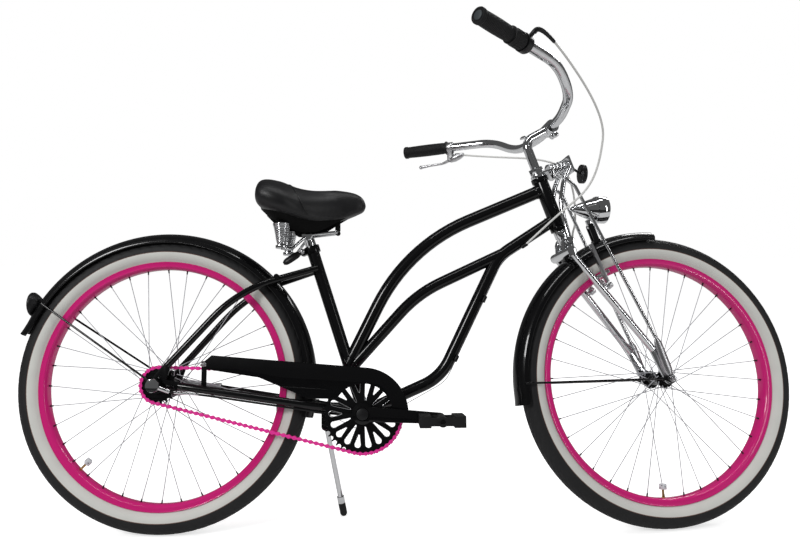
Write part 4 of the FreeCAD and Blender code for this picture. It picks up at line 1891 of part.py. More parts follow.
def frame_parts():
    """Nodes drawn in the frame's own coordinates."""
    return {
        "head_tube": Part.makeCompound([head_tube()] + headset_cups().Solids),
        "top_tube": top_tube(),
        "middle_tube": middle_tube(),
        "down_tube": down_tube(),
        "seat_tube": seat_tube(),
        "bottom_bracket": bottom_bracket(),
        "chain_stays": Part.makeCompound(chain_stays().Solids + [stand_plate()]),
        "seat_stays": seat_stays(),
        "chain_guard": chain_guard(),
        "rear_fender": fender(REAR_FENDER_START, REAR_FENDER_END),
        "rear_fender_stays": fender_stays(REAR_STAY_ANGLE, rear_outer() - RUNNING - EYE_THICKNESS),
        "tail_light_body": tail_light("body"),
        "tail_light_lens": tail_light("lens"),
        "seat_clamp": seat_clamp(),
        "seat_lever": seat_lever(),
        "seat_post": Part.makeCompound([seat_post()] + saddle_frame().Solids),
        "saddle_springs": saddle_springs(),
        "saddle_base": saddle_base(),
        "saddle_cushion": saddle_cushion(),
        "rear_axle": rear_axle(),
        "coaster_arm": coaster_arm(),
        "rear_tyre": tyre(),
        "rear_rim": rim(),
        "rear_spokes": spoke_set(REAR_FLANGE_RADIUS, REAR_FLANGE_Y),
        "rear_hub": rear_hub(),
        "rear_sprocket": rear_sprocket(),
        "chain": chain(),
        "chainring": at(chainring(), BRACKET),
        "crank_arms": at(crank_set(), BRACKET),
        "right_pedal": at(pedal(-1), BRACKET),
        "left_pedal": at(pedal(1), BRACKET),
        "kickstand_leg": kickstand_leg(),
        "kickstand_foot": kickstand_foot(),
        "shift_cable": shift_cable(),
    }


def steered_parts():
    """Nodes drawn in the fork's own coordinates."""
    return {
        "steerer": steerer(),
        "headset_nut": headset_nut(),
        "fork_spring": fork_spring(),
        "front_reflector": front_reflector(),
        "stem": stem(),
        "handlebar": handlebar(),
        "grips": grips(),
        "shifter_grip": shifter_grip(),
        "shifter_body": shifter_body(),
        "lever_bracket": lever_bracket(),
        "brake_lever": brake_lever(),
        "brake_cable": brake_cable(),
        "fork_blades": fork_blades(),
        "spring_yoke": spring_yoke(),
        "truss_rods": truss_rods(),
        "front_fender": front_fender(),
        "front_fender_stays": front_fender_stays(),
        "headlamp_shell": headlamp_shell(),
        "headlamp_lens": headlamp_lens(),
        "right_brake_arm": brake_arm(-1),
        "left_brake_arm": brake_arm(1),
        "front_axle": at(front_axle(), FORK_AXLE),
        "front_tyre": at(tyre(), FORK_AXLE),
        "front_rim": at(rim(), FORK_AXLE),
        "front_spokes": at(spoke_set(FRONT_FLANGE_RADIUS, FRONT_FLANGE_Y), FORK_AXLE),
        "front_hub": at(front_hub(), FORK_AXLE),
    }


def coaster_arm():
    """Brake reaction arm from the hub's left side to a clip on the left chain stay."""
    y = REAR_SHELL_END + 2 * SEAT + ARM_PLATE
    stay = chain_stay_points(1)
    share = (COASTER_CLIP_X - stay[0].x) / (stay[1].x - stay[0].x)
    root = stay[0] + (stay[1] - stay[0]) * share
    tip = V(root.x, y, root.z)
    plate = link_face(V(0, y, 0), 2 * CONE_RADIUS, tip, CONE_RADIUS).extrude(V(0, ARM_PLATE, 0))
    clip = rod(root - V(ARM_CLIP / 2, 0, 0), root + V(ARM_CLIP / 2, 0, 0), CHAIN_STAY_RADIUS + ARM_PLATE)
    joint = cross_rod(root.x, root.z, AXLE_RADIUS, y, root.y)
    space = rod(stay[0], stay[1], CHAIN_STAY_RADIUS + RUNNING)
    whole = fuse([plate, clip, joint])
    return largest(whole.cut([space, cross_rod(0, 0, CONE_RADIUS + RUNNING, 0, 2 * y)]))


def chain_stay_space(side):
    """A chain stay's round space."""
    return bent_rod(chain_stay_points(side), [STAY_BEND_RADIUS, STAY_BEND_RADIUS], CHAIN_STAY_RADIUS)


def bounds(shapes):
    """Corners of the box round several shapes."""
    boxes = [shape.optimalBoundingBox(False, False) for shape in shapes]
    low = V(min(box.XMin for box in boxes), min(box.YMin for box in boxes), min(box.ZMin for box in boxes))
    high = V(max(box.XMax for box in boxes), max(box.YMax for box in boxes), max(box.ZMax for box in boxes))
    return low, high


def placed_parts():
    """Every node where it stands, and the placement that took the frame's drawing there."""
    stance = upright_stance()
    steered = stance.multiply(FORK_FRAME).multiply(STEER)
    parts = {name: moved(shape, stance) for name, shape in frame_parts().items()}
    parts.update({name: moved(shape, steered) for name, shape in steered_parts().items()})
    low, high = bounds(parts.values())
    shift = FreeCAD.Placement(V(-(low.x + high.x) / 2, -(low.y + high.y) / 2, -low.z), FreeCAD.Rotation())
    parts = {name: moved(shape, shift) for name, shape in parts.items()}
    return parts, shift.multiply(stance), high - low


def moved(shape, placement):
    """A copy of a shape after a placement."""
    copy = shape.copy()
    copy.Placement = placement.multiply(copy.Placement)
    return copy


def main():
    """Export every node."""
    os.makedirs("parts", exist_ok=True)
    parts, stance, size = placed_parts()
    for name, shape in parts.items():
        shape.exportStep("parts/" + name + ".step")
    print("nodes", len(parts), "size", [round(value, 1) for value in size])


if __name__ == "__main__":
    main()
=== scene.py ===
# %% [markdown]
# A beach cruiser bicycle, dressed for a photograph. The solids were drawn first and packed as a frame of
# named pieces and joints. This lesson loads that frame, keeps every solid whose shape is already right, and
# builds a finer mesh where the eye would see facets.

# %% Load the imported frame
import json
import math

import bmesh
import bpy
from mathutils import Matrix, Vector


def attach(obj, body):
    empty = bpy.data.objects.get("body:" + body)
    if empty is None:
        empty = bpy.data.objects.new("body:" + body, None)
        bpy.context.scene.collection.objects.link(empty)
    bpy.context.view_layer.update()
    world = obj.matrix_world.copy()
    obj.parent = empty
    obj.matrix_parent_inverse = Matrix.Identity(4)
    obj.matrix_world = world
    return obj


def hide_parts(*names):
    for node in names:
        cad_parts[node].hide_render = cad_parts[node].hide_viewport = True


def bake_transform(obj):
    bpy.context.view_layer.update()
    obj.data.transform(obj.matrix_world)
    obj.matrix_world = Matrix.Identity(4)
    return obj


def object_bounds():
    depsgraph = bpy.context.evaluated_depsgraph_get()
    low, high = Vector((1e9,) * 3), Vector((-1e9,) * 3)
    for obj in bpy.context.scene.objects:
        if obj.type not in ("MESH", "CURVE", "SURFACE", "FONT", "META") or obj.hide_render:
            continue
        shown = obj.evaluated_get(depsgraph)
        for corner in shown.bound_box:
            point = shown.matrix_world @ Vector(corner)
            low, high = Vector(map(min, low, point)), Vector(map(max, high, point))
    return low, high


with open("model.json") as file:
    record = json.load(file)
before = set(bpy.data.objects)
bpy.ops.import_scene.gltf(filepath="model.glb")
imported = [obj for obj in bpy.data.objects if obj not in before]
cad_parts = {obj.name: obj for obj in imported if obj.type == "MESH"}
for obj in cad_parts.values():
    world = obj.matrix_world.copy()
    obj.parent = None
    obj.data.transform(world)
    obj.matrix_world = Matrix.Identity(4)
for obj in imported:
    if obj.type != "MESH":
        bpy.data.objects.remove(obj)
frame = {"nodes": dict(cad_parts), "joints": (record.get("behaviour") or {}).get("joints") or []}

cad_low, cad_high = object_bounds()
nodes = frame["nodes"]
joints = {joint["name"]: joint for joint in frame["joints"]}

# %% [markdown]
# The bicycle leans on its stand and its bar is turned, so nothing is square to the scene. Every point could
# be turned by hand, but two drawing placements undo it once for all: one for the frame, with the rear axle
# as origin, and one for everything that steers, with the lower end of the head tube as origin. Both are
# read from the joints, so they always fit.

# %% Two drawing placements
MM = 0.001
BRACKET_DROP = 68.0
STEER_MARK = 60.0
FORK_AXLE = Vector((95, 0, -418.3))


def spot(joint):
    """Where a joint turns."""
    return Vector(joints[joint]["pos_m"])


def way(joint):
    """The direction that a joint turns about."""
    return Vector(joints[joint]["axis"]).normalized()


def axes(origin, x, y, z):
    """A placement with these directions."""
    return Matrix([[x[i], y[i], z[i], origin[i]] for i in range(3)] + [[0, 0, 0, 1]])


def placement(origin, x, y, z):
    """Takes millimetres of a drawing to metres of the scene."""
    return axes(origin, x * MM, y * MM, z * MM)


left = way("rear_wheel_spin")
axle = spot("rear_wheel_spin")
reach = spot("crank_spin") - axle
fall = math.asin(BRACKET_DROP * MM / reach.length)
along = reach.normalized()
square = along.cross(left)
ahead = along * math.cos(fall) + square * math.sin(fall)
upward = square * math.cos(fall) - along * math.sin(fall)
BIKE = placement(axle, ahead, left, upward)

steer_up = way("steering_turn")
steer_left = way("front_wheel_spin")
crown = spot("steering_turn") - steer_up * STEER_MARK * MM
FORK = placement(crown, steer_left.cross(steer_up), steer_left, steer_up)
REAR_WHEEL = BIKE
FRONT_WHEEL = FORK @ Matrix.Translation(FORK_AXLE)
BRACKET = Vector((reach.length / MM * math.cos(fall), 0, -BRACKET_DROP))
print("bottom bracket is", round(BRACKET.x, 1), "mm ahead of the rear axle")

# %% [markdown]
# The camera comes next. It could be moved by eye until the picture looks right. Here its place was worked
# out from the two rims and the ground in the photograph: low, near the middle of the bicycle's length, on the
# drive side.

# %% Camera
CAMERA_SPOT = Vector((541.7, -1690.4, 51.3))
CAMERA_YAW, CAMERA_PITCH, CAMERA_ROLL = -0.268, 6.866, 0.607
turn = Matrix.Rotation(math.radians(CAMERA_YAW), 3, "Z")
turn = turn @ Matrix.Rotation(math.radians(CAMERA_PITCH), 3, "X")
turn = turn @ Matrix.Rotation(math.radians(CAMERA_ROLL), 3, "Y")
lens = bpy.data.cameras.new("camera")
lens.lens = 32.27
lens.sensor_width = 36.0
camera = bpy.data.objects.new("camera", lens)
bpy.context.scene.collection.objects.link(camera)
to_scene = BIKE.to_3x3() * (1 / MM)
right, sight, above = (to_scene @ turn.col[i] for i in range(3))
spot_now = BIKE @ CAMERA_SPOT
camera.matrix_world = axes(spot_now, right, above, -sight)
bpy.context.scene.camera = camera
print("camera height", round(spot_now.z, 3), "m")

# %% [markdown]
# Finishes are written as arithmetic. `Value` wraps a node's output, so that `1 - mask` or
# `noise * 0.2 + 0.5` adds its Math nodes by itself. Any other node comes from the one method of `NodeTree`,
# and `Finish` is the tree of one material. Adding and linking each node by hand would say the same in many
# more lines.

# %% Shader arithmetic
class Value:
    """A number or colour that flows between shader nodes."""

    def __init__(self, owner, socket):
        self.owner = owner
        self.socket = socket

    def math(self, operation, *values):
        return self.owner.add("ShaderNodeMath", {"operation": operation}, dict(enumerate(values)))

    def __add__(self, other):
        return self.math("ADD", self, other)

    def __sub__(self, other):
        return self.math("SUBTRACT", self, other)

    def __rsub__(self, other):
        return self.math("SUBTRACT", other, self)

    def __mul__(self, other):
        return self.math("MULTIPLY", self, other)

    def __lt__(self, other):
        return self.math("LESS_THAN", self, other)

    def __gt__(self, other):
        return self.math("GREATER_THAN", self, other)

    __radd__ = __add__
    __rmul__ = __mul__


class NodeTree:
    """The nodes of a material or of the world, with one method that adds any node."""

    def __init__(self, tree):
        self.tree = tree

    def add(self, kind, settings, inputs, output=0):
        node = self.tree.nodes.new(kind)
        for name, value in settings.items():
            setattr(node, name, value)
        for name, value in inputs.items():
            if isinstance(value, Value):
                self.tree.links.new(value.socket, node.inputs[name])
            else:
                node.inputs[name].default_value = value
        return Value(self, node.outputs[output])


class Finish(NodeTree):
    """One material. Constants go straight to the shader, and everything else is a node."""

    def __init__(self, name, constants):
        self.material = bpy.data.materials.new(name)
        self.material.use_nodes = True
        super().__init__(self.material.node_tree)
        self.shader = self.tree.nodes["Principled BSDF"]
        for socket, value in constants.items():
            self.shader.inputs[socket].default_value = value
        self.place = self.add("ShaderNodeTexCoord", {}, {}, "Object")

    def feed(self, socket, value):
        self.tree.links.new(value.socket, self.shader.inputs[socket])
        return self

    def noise(self, scale, detail=3.0):
        return self.add("ShaderNodeTexNoise", {}, {"Vector": self.place, "Scale": scale, "Detail": detail})

    def blend(self, share, first, second):
        """The colours of a Mix node are its sockets 6 and 7 and its output 2."""
        return self.add("ShaderNodeMix", {"data_type": "RGBA"}, {0: share, 6: first, 7: second}, 2)

    def bump(self, height, depth, strength):
        node = self.add("ShaderNodeBump", {}, {"Height": height, "Distance": depth, "Strength": strength})
        return self.feed("Normal", node)


def rgb(red, green, blue):
    """A colour with full cover."""
    return (red, green, blue, 1.0)


print("shader tools ready")

# %% [markdown]
# Gloss enamel. The frame is sprayed with colour and then with clear lacquer, which ripples faintly like the
# skin of an orange. One shiny shader would do from far away, but it can't show a soft colour under a sharp
# reflection. So the colour stays dull, a Coat layer gives the lacquer, and fine noise bends the normals.

# %% Gloss enamel
def enamel(name, low, high):
    finish = Finish(name, {"Coat Weight": 0.45, "Coat Roughness": 0.04, "Specular IOR Level": 0.15})
    finish.feed("Base Color", finish.blend(finish.noise(9.0), low, high))
    finish.feed("Roughness", finish.noise(40.0) * 0.12 + 0.16)
    return finish.bump(finish.noise(900.0, 1.0), 0.00002, 0.25).material


black_enamel = enamel("black_enamel", rgb(0.002, 0.002, 0.0025), rgb(0.004, 0.004, 0.0045))
pink_enamel = enamel("pink_enamel", rgb(0.60, 0.012, 0.17), rgb(0.66, 0.018, 0.20))
pink_chain = enamel("pink_chain", rgb(0.86, 0.04, 0.34), rgb(0.93, 0.055, 0.40))
print("enamels ready")

# %% [markdown]
# Bare metals. Chrome is a mirror, while plated steel and alloy are brushed, with a grain in one direction.
# All could share one grey metal with different roughness, but brushed pieces would then look like worn
# chrome. So `plated` varies its roughness slowly, as haze and finger marks do, and `brushed` stretches its
# noise into lines.

# %% Chrome, steel, alloy and brass
def plated(name, colour, dull, polish, haze):
    finish = Finish(name, {"Metallic": 1.0})
    finish.feed("Base Color", finish.blend(finish.noise(14.0), colour, dull))
    finish.feed("Roughness", finish.noise(26.0) * haze + polish)
    return finish.bump(finish.noise(500.0, 1.0), 0.00001, 0.15).material


def brushed(name, colour, dull):
    finish = Finish(name, {"Metallic": 1.0})
    stretched = finish.add("ShaderNodeMapping", {}, {"Vector": finish.place, "Scale": (900.0, 900.0, 30.0)})
    grain = finish.add("ShaderNodeTexNoise", {}, {"Vector": stretched, "Scale": 1.0, "Detail": 4.0})
    finish.feed("Base Color", finish.blend(grain, colour, dull))
    finish.feed("Roughness", grain * 0.2 + 0.22)
    return finish.bump(grain, 0.00002, 0.3).material


chrome = plated("chrome", rgb(0.86, 0.87, 0.88), rgb(0.78, 0.79, 0.81), 0.03, 0.07)
steel = brushed("plated_steel", rgb(0.62, 0.62, 0.63), rgb(0.48, 0.48, 0.50))
alloy = brushed("satin_alloy", rgb(0.72, 0.72, 0.73), rgb(0.60, 0.60, 0.62))
brass = plated("brass", rgb(0.72, 0.50, 0.18), rgb(0.55, 0.38, 0.14), 0.18, 0.15)
print("metal finishes ready")

# %% [markdown]
# Moulded pieces. Grips, pedals, cable sleeves and caps come out of a mould with a fine grain. A picture of
# the grain could be wrapped round them, but these shapes have no unwrapped surface, so the grain is a noise
# that fills space. The spokes take this finish too, because thin wire looks grey and dull against the
# light.

# %% Rubber and plastic
def moulded(name, dark, pale, rough, grain, depth, shine=0.5):
    finish = Finish(name, {"Specular IOR Level": shine})
    finish.feed("Base Color", finish.blend(finish.noise(30.0), dark, pale))
    finish.feed("Roughness", finish.noise(60.0) * 0.2 + rough)
    return finish.bump(finish.noise(grain, 2.0), depth, 0.5).material


rubber = moulded("black_rubber", rgb(0.005, 0.005, 0.006), rgb(0.011, 0.011, 0.012), 0.45, 900.0, 0.0003, 0.3)
plastic = moulded(
    "black_plastic", rgb(0.004, 0.004, 0.005), rgb(0.008, 0.008, 0.009), 0.3, 1200.0, 0.0001, 0.35
)
sleeve = moulded("white_sleeve", rgb(0.78, 0.78, 0.76), rgb(0.70, 0.70, 0.68), 0.3, 400.0, 0.0001)
spoke_wire = moulded("spoke_wire", rgb(0.50, 0.51, 0.54), rgb(0.42, 0.43, 0.46), 0.3, 300.0, 0.0001)
slate = moulded("slate_rubber", rgb(0.03, 0.04, 0.045), rgb(0.045, 0.055, 0.06), 0.4, 600.0, 0.0001)
matt_black = moulded(
    "matt_black", rgb(0.003, 0.003, 0.003), rgb(0.006, 0.006, 0.006), 0.6, 600.0, 0.0002, 0.08
)
dice_white = moulded("cap_white", rgb(0.72, 0.74, 0.76), rgb(0.66, 0.68, 0.72), 0.2, 300.0, 0.0001)
print("moulded finishes ready")

# %% [markdown]
# Saddle cover. It is black, with a pressed leather grain. Sculpting that grain would need millions of
# points, so it is a bump: Voronoi cells give a net of small plates, and the distance to a cell's edge makes
# each of them swell.

# %% Saddle cover
def leather(name):
    finish = Finish(name, {"Specular IOR Level": 0.45})
    cells = finish.add(
        "ShaderNodeTexVoronoi", {"feature": "DISTANCE_TO_EDGE"}, {"Vector": finish.place, "Scale": 620.0}
    )
    finish.feed(
        "Base Color", finish.blend(finish.noise(18.0), rgb(0.004, 0.004, 0.005), rgb(0.009, 0.009, 0.010))
    )
    finish.feed("Roughness", finish.noise(35.0) * 0.16 + 0.34)
    return finish.bump(cells, 0.0006, 0.35).material


saddle_cover = leather("saddle_cover")
print("saddle cover ready")

# %% [markdown]
# Lenses. The lamp's lens is clear and the tail light's is red, and both are moulded in little squares that
# spread the light. The squares could be modelled one by one. At this size a bump of Voronoi cells, measured
# so that they come out square, catches the light in the same way.

# %% Lenses
def lens_finish(name, colour, facets, clear):
    finish = Finish(
        name, {"Base Color": colour, "Transmission Weight": clear, "Roughness": 0.06, "IOR": 1.49}
    )
    cells = finish.add(
        "ShaderNodeTexVoronoi", {"distance": "CHEBYCHEV"}, {"Vector": finish.place, "Scale": facets}
    )
    return finish.bump(cells, 0.001, 0.6).material


clear_lens = lens_finish("clear_lens", rgb(0.9, 0.93, 0.95), 260.0, 0.85)
red_lens = lens_finish("red_lens", rgb(0.35, 0.006, 0.006), 300.0, 0.4)
print("lenses ready")

# %% [markdown]
# Most round pieces of a bicycle are turned or rolled, so the first tool spins an outline about an axis.
# Blender's Screw modifier does that too, but it needs an object for each outline. Here a shape is only a
# list of points and a list of faces, so shapes can be placed and joined before one object is made of them.

# %% Spun shapes
def unit(angle):
    """Direction in the plane of the wheels, from +X towards +Z."""
    return Vector((math.cos(math.radians(angle)), 0, math.sin(math.radians(angle))))


def ring_faces(rings, count, around=False):
    """Faces between rings of points, with flat ends unless the last ring meets the first."""
    faces = []
    for ring in range(rings if around else rings - 1):
        low = ring * count
        high = (ring + 1) % rings * count
        for index in range(count):
            beside = (index + 1) % count
            faces.append((low + index, low + beside, high + beside, high + index))
    if not around:
        faces += [tuple(range(count)), tuple(range((rings - 1) * count, rings * count))]
    return faces


def lathe(profile, turns, start=0.0, sweep=360.0, groove=None):
    """Spins a closed outline of (radius, y) points about the Y axis. A groove lowers single points."""
    full = sweep >= 360.0
    rings = turns if full else turns + 1
    points = []
    for ring in range(rings):
        angle = math.radians(start + sweep * ring / turns)
        for index, (radius, y) in enumerate(profile):
            depth = groove(ring, index) if groove else 0.0
            points.append(Vector(((radius - depth) * math.cos(angle), y, (radius - depth) * math.sin(angle))))
    return points, ring_faces(rings, len(profile), full)


def placed(shape, matrix):
    """A copy of a shape after a placement."""
    return [matrix @ point for point in shape[0]], shape[1]


def spun(profile, base, direction, turns):
    """Spins an outline of (radius, distance) points about any axis."""
    turn = Vector((0, 1, 0)).rotation_difference(Vector(direction).normalized()).to_matrix().to_4x4()
    return placed(lathe(profile, turns), Matrix.Translation(Vector(base)) @ turn)


def joined(*shapes):
    """Several shapes as one."""
    points, faces = [], []
    for shape in shapes:
        first = len(points)
        points += shape[0]
        faces += [tuple(first + index for index in face) for face in shape[1]]
    return points, faces


print("shape tools ready")

# %% [markdown]
# Each finished shape becomes one object. It rides on a body of the frame, so that it moves with that body's
# joint, and it names the CAD nodes that it stands for. Shading is smooth, and an edge stays hard where two
# faces meet at a steep angle. A bevel on every edge would look much the same for far more faces.

# %% Pieces
def smooth_mesh(name, shape, matrix, sharp):
    """A mesh in scene metres, with its normals outwards and its hard edges kept."""
    mesh = bpy.data.meshes.new(name)
    mesh.from_pydata([matrix @ point for point in shape[0]], [], shape[1])
    work = bmesh.new()
    work.from_mesh(mesh)
    bmesh.ops.remove_doubles(work, verts=work.verts[:], dist=1e-6)
    bmesh.ops.dissolve_degenerate(work, edges=work.edges[:], dist=1e-7)
    bmesh.ops.recalc_face_normals(work, faces=work.faces[:])
    work.to_mesh(mesh)
    work.free()
    mesh.shade_smooth()
    mesh.set_sharp_from_angle(angle=math.radians(sharp))
    return mesh


made = []


def piece(name, shape, matrix, finish, body, stands_for=(), sharp=38.0):
    """One object of a shape, riding on a body and standing for the CAD nodes that it replaces."""
    thing = bpy.data.objects.new(name, smooth_mesh(name, shape, matrix, sharp))
    bpy.context.scene.collection.objects.link(thing)
    thing.data.materials.append(finish)
    if body:
        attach(thing, body)
    if stands_for:
        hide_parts(*stands_for)
    made.append(name)
    return thing


print("ready to make pieces")

# %% [markdown]
# Tyre colours. A balloon tyre has a black tread, a thin dark line and a broad pale wall. They could be
# three materials on three strips of faces, but the borders would then follow the mesh. This finish measures
# each point's distance from the axle instead, so a border is a true circle.

# %% Tyre finish
WALL_EDGE = 0.3080
WALL_LINE = 0.0014


def tyre_finish(name, centre, axis):
    finish = Finish(name, {"Specular IOR Level": 0.3})
    offset = finish.add("ShaderNodeVectorMath", {"operation": "SUBTRACT"}, {0: finish.place, 1: centre})
    across = finish.add("ShaderNodeVectorMath", {"operation": "CROSS_PRODUCT"}, {0: offset, 1: axis})
    radius = finish.add("ShaderNodeVectorMath", {"operation": "LENGTH"}, {0: across}, "Value")
    wall = radius < WALL_EDGE
    line = (1 - wall) * (radius < WALL_EDGE + WALL_LINE)
    grime = finish.noise(22.0)
    pale = finish.blend(grime, rgb(0.70, 0.70, 0.66), rgb(0.60, 0.60, 0.57))
    dark = finish.blend(grime, rgb(0.009, 0.009, 0.010), rgb(0.018, 0.018, 0.019))
    edged = finish.blend(line, dark, rgb(0.16, 0.09, 0.07))
    finish.feed("Base Color", finish.blend(wall, edged, pale))
    finish.feed("Roughness", finish.noise(80.0) * 0.2 + 0.5)
    return finish.bump(finish.noise(700.0, 2.0), 0.0002, 0.3).material


print("the pale wall ends", WALL_EDGE, "m from the axle")

# %% [markdown]
# Tyres. A balloon tyre has a round section, a little square at its shoulders, with a shallow tread. The
# tread could be cut with booleans, which are slow and leave ragged faces. So the spun outline has many
# points, and those that lie in the slanting bars and in the two rain grooves are lowered.

# %% Tyres
WHEEL_RADIUS = 337.0
TYRE_RADIUS = 27.0
RIM_RADIUS = 286.0
TREAD_BARS = 84
TREAD_STEPS = 8
TREAD_DEPTH = 1.3
TREAD_HEIGHT = 16.0
RAIN_NEAR, RAIN_FAR = 3.0, 5.6
BAR_START, BAR_LEAN, BAR_SHARE = 5.0, 9.0, 0.3
CROWN_POINTS = 52
WALL_LEAN = -46.0
BEAD_HALF = 15.2


def squared(share):
    """Pushes a circle's shoulders out a little."""
    return math.copysign(abs(share) ** 0.9, share)


def tyre_profile():
    ring = WHEEL_RADIUS - TYRE_RADIUS
    sweep = 180 - 2 * WALL_LEAN
    angles = [math.radians(WALL_LEAN + sweep * i / CROWN_POINTS) for i in range(CROWN_POINTS + 1)]
    crown = [(ring + TYRE_RADIUS * squared(math.sin(a)), TYRE_RADIUS * squared(math.cos(a))) for a in angles]
    bead = [(RIM_RADIUS - 6.0, BEAD_HALF), (RIM_RADIUS + 0.3, BEAD_HALF)]
    return bead + crown + [(radius, -y) for radius, y in bead[::-1]]


def tread(ring, index):
    radius, y = TYRE_PROFILE[index]
    if radius < WHEEL_RADIUS - TREAD_HEIGHT:
        return 0.0
    rain = RAIN_NEAR < abs(y) < RAIN_FAR
    bar = (ring / TREAD_STEPS + abs(y) / BAR_LEAN) % 1.0 < BAR_SHARE
    return TREAD_DEPTH if rain or (bar and abs(y) > BAR_START) else 0.0


TYRE_PROFILE = tyre_profile()
WHEELS = (("rear", REAR_WHEEL, "rear_wheel"), ("front", FRONT_WHEEL, "front_wheel"))
for end, place, body in WHEELS:
    hub = place @ Vector((0, 0, 0))
    spin = (place.to_3x3() @ Vector((0, 1, 0))).normalized()
    shape = lathe(TYRE_PROFILE, TREAD_BARS * TREAD_STEPS, groove=tread)
    piece(
        end + "_tyre_tread", shape, place, tyre_finish(end + "_tyre", hub, spin), body,
        [end + "_tyre"], 60.0
    )
print("tyre points", len(shape[0]))

# %% [markdown]
# Rims. A rim is a strip of metal rolled to a channel with turned-in edges, and then bent to a hoop. A plain
# ring would do from the side, but the light shows the step between wall and edge. Half of the outline is
# drawn, the other half mirrors it, and the whole is spun.

# %% Rims
RIM_DEPTH = 17.5


def rim_profile():
    half, base = 18.0, 11.0
    low = RIM_RADIUS - RIM_DEPTH
    right_side = [
        (low, 0.0), (low, base * 0.6), (low + 0.5, base), (low + 4.2, half - 1.2), (low + 6.2, half),
        (RIM_RADIUS - 3.2, half - 0.3)
    ]
    edge = [
        (RIM_RADIUS - 1.6, half + 0.4), (RIM_RADIUS, half - 0.3), (RIM_RADIUS - 0.6, half - 2.0),
        (RIM_RADIUS - 4, half - 2.5)
    ]
    inside = [(low + 7, half - 2.5), (low + 2.6, base - 1.2), (low + 2.5, 0.0)]
    upper = right_side + edge + inside
    return upper + [(radius, -y) for radius, y in upper[::-1][1:-1]]


for end, place, body in WHEELS:
    shape = lathe(rim_profile(), 180)
    piece(end + "_rim_channel", shape, place, pink_enamel, body, [end + "_rim"], 30.0)
print("pieces so far", len(made))

# %% [markdown]
# Nipples. Each spoke ends at the rim in a small nut that pulls it tight. The spokes come straight from the
# CAD frame, where they are one mesh with no marked ends. So the nipples follow the rule that laced the
# spokes: flange, crossing angle and side.

# %% Spoke nipples
SPOKES = 36
SPOKE_CROSSING = 60.0
SPOKE_RIM_STAGGER = 2.3
SPOKE_RADIUS = 1.0
SPOKE_GAP = 0.3
NIPPLE = [(0, -0.6), (2.2, -0.6), (2.2, 0.8), (1.7, 1.4), (1.7, 6.0), (1.3, 7.5), (0, 7.5)]


def nipples(flange_radius, flange_y):
    shapes = []
    hole_radius = flange_radius - 3 * SPOKE_RADIUS
    rim_radius = RIM_RADIUS - RIM_DEPTH - SPOKE_GAP / 2
    for index in range(SPOKES):
        angle = index * 360.0 / SPOKES
        side = 1 if index % 2 else -1
        lead = 1 if index % 4 < 2 else -1
        stagger = SPOKE_RIM_STAGGER + lead * (SPOKE_RADIUS + SPOKE_GAP)
        start = unit(angle - lead * SPOKE_CROSSING) * hole_radius + Vector((0, side * flange_y, 0))
        end = unit(angle) * rim_radius + Vector((0, side * stagger, 0))
        shapes.append(spun(NIPPLE, end, start - end, 10))
    return joined(*shapes)


FLANGES = {"rear": (33.0, 27.0), "front": (21.0, 32.0)}
for end, place, body in WHEELS:
    piece(end + "_nipples", nipples(*FLANGES[end]), place, plastic, body)
print("nipples on each wheel", SPOKES)

# %% [markdown]
# Valves. A brass stem stands inside each rim, under a cap shaped like a small cube with round black spots.
# A texture could paint the spots, but a disc that stands out by a fraction of a millimetre stays sharp from
# close by and needs no unwrapping.

# %% Valves
CAP_SIZE = 13.0


def block(size, centre, edge):
    """A box with rounded edges."""
    mesh = bmesh.new()
    bmesh.ops.create_cube(mesh, size=1.0)
    for vertex in mesh.verts:
        vertex.co = Vector((vertex.co.x * size[0], vertex.co.y * size[1], vertex.co.z * size[2]))
    bmesh.ops.bevel(mesh, geom=mesh.edges[:], offset=edge, segments=3, affect="EDGES", profile=0.5)
    mesh.verts.index_update()
    points = [vertex.co + Vector(centre) for vertex in mesh.verts]
    faces = [tuple(vertex.index for vertex in face.verts) for face in mesh.faces]
    mesh.free()
    return points, faces


def valve(angle, twist):
    """Brass stem with a cube-shaped cap whose faces carry round spots."""
    inward = unit(angle) * -1
    base = unit(angle) * (RIM_RADIUS - RIM_DEPTH)
    stem = spun([(0, 0), (3.6, 0), (3.6, 2.5), (2.6, 2.6), (2.6, 20), (0, 20)], base, inward, 20)
    upright = Vector((0, 0, 1)).rotation_difference(inward).to_matrix().to_4x4()
    turn = upright @ Matrix.Rotation(math.radians(twist), 4, "Z")
    seat = Matrix.Translation(base + inward * (18 + CAP_SIZE / 2)) @ turn
    cube = placed(block((CAP_SIZE, CAP_SIZE, CAP_SIZE), (0, 0, 0), 1.8), seat)
    pips = []
    for facing, spots in (((1, 0, 0), 2), ((-1, 0, 0), 2), ((0, 1, 0), 1), ((0, -1, 0), 1)):
        direction = Vector(facing)
        across = Vector((0, 0, 1)).cross(direction)
        for number in range(spots):
            shift = 0 if spots == 1 else (number * 2 - 1) * CAP_SIZE * 0.22
            centre = direction * (CAP_SIZE / 2 - 0.3) + across * shift + Vector((0, 0, shift))
            pips.append(placed(spun([(0, 0), (1.5, 0), (1.3, 0.45), (0, 0.5)], centre, direction, 14), seat))
    return stem, cube, joined(*pips)


VALVES = {"rear": (225.4, 30.0), "front": (249.0, 20.0)}
for end, place, body in WHEELS:
    stem, cube, spots = valve(*VALVES[end])
    piece(end + "_valve_stem", stem, place, brass, body)
    piece(end + "_valve_cap", cube, place, dice_white, body)
    piece(end + "_valve_cap_dimples", spots, place, plastic, body)
print("pieces so far", len(made))

# %% [markdown]
# Fender section. A fender is rolled from sheet steel, with a crowned top, upright sides and a wire in its
# edge. A flat ribbon would miss the crown, which carries the long highlight. The crown here is one arc,
# worked out from its width and its rise.

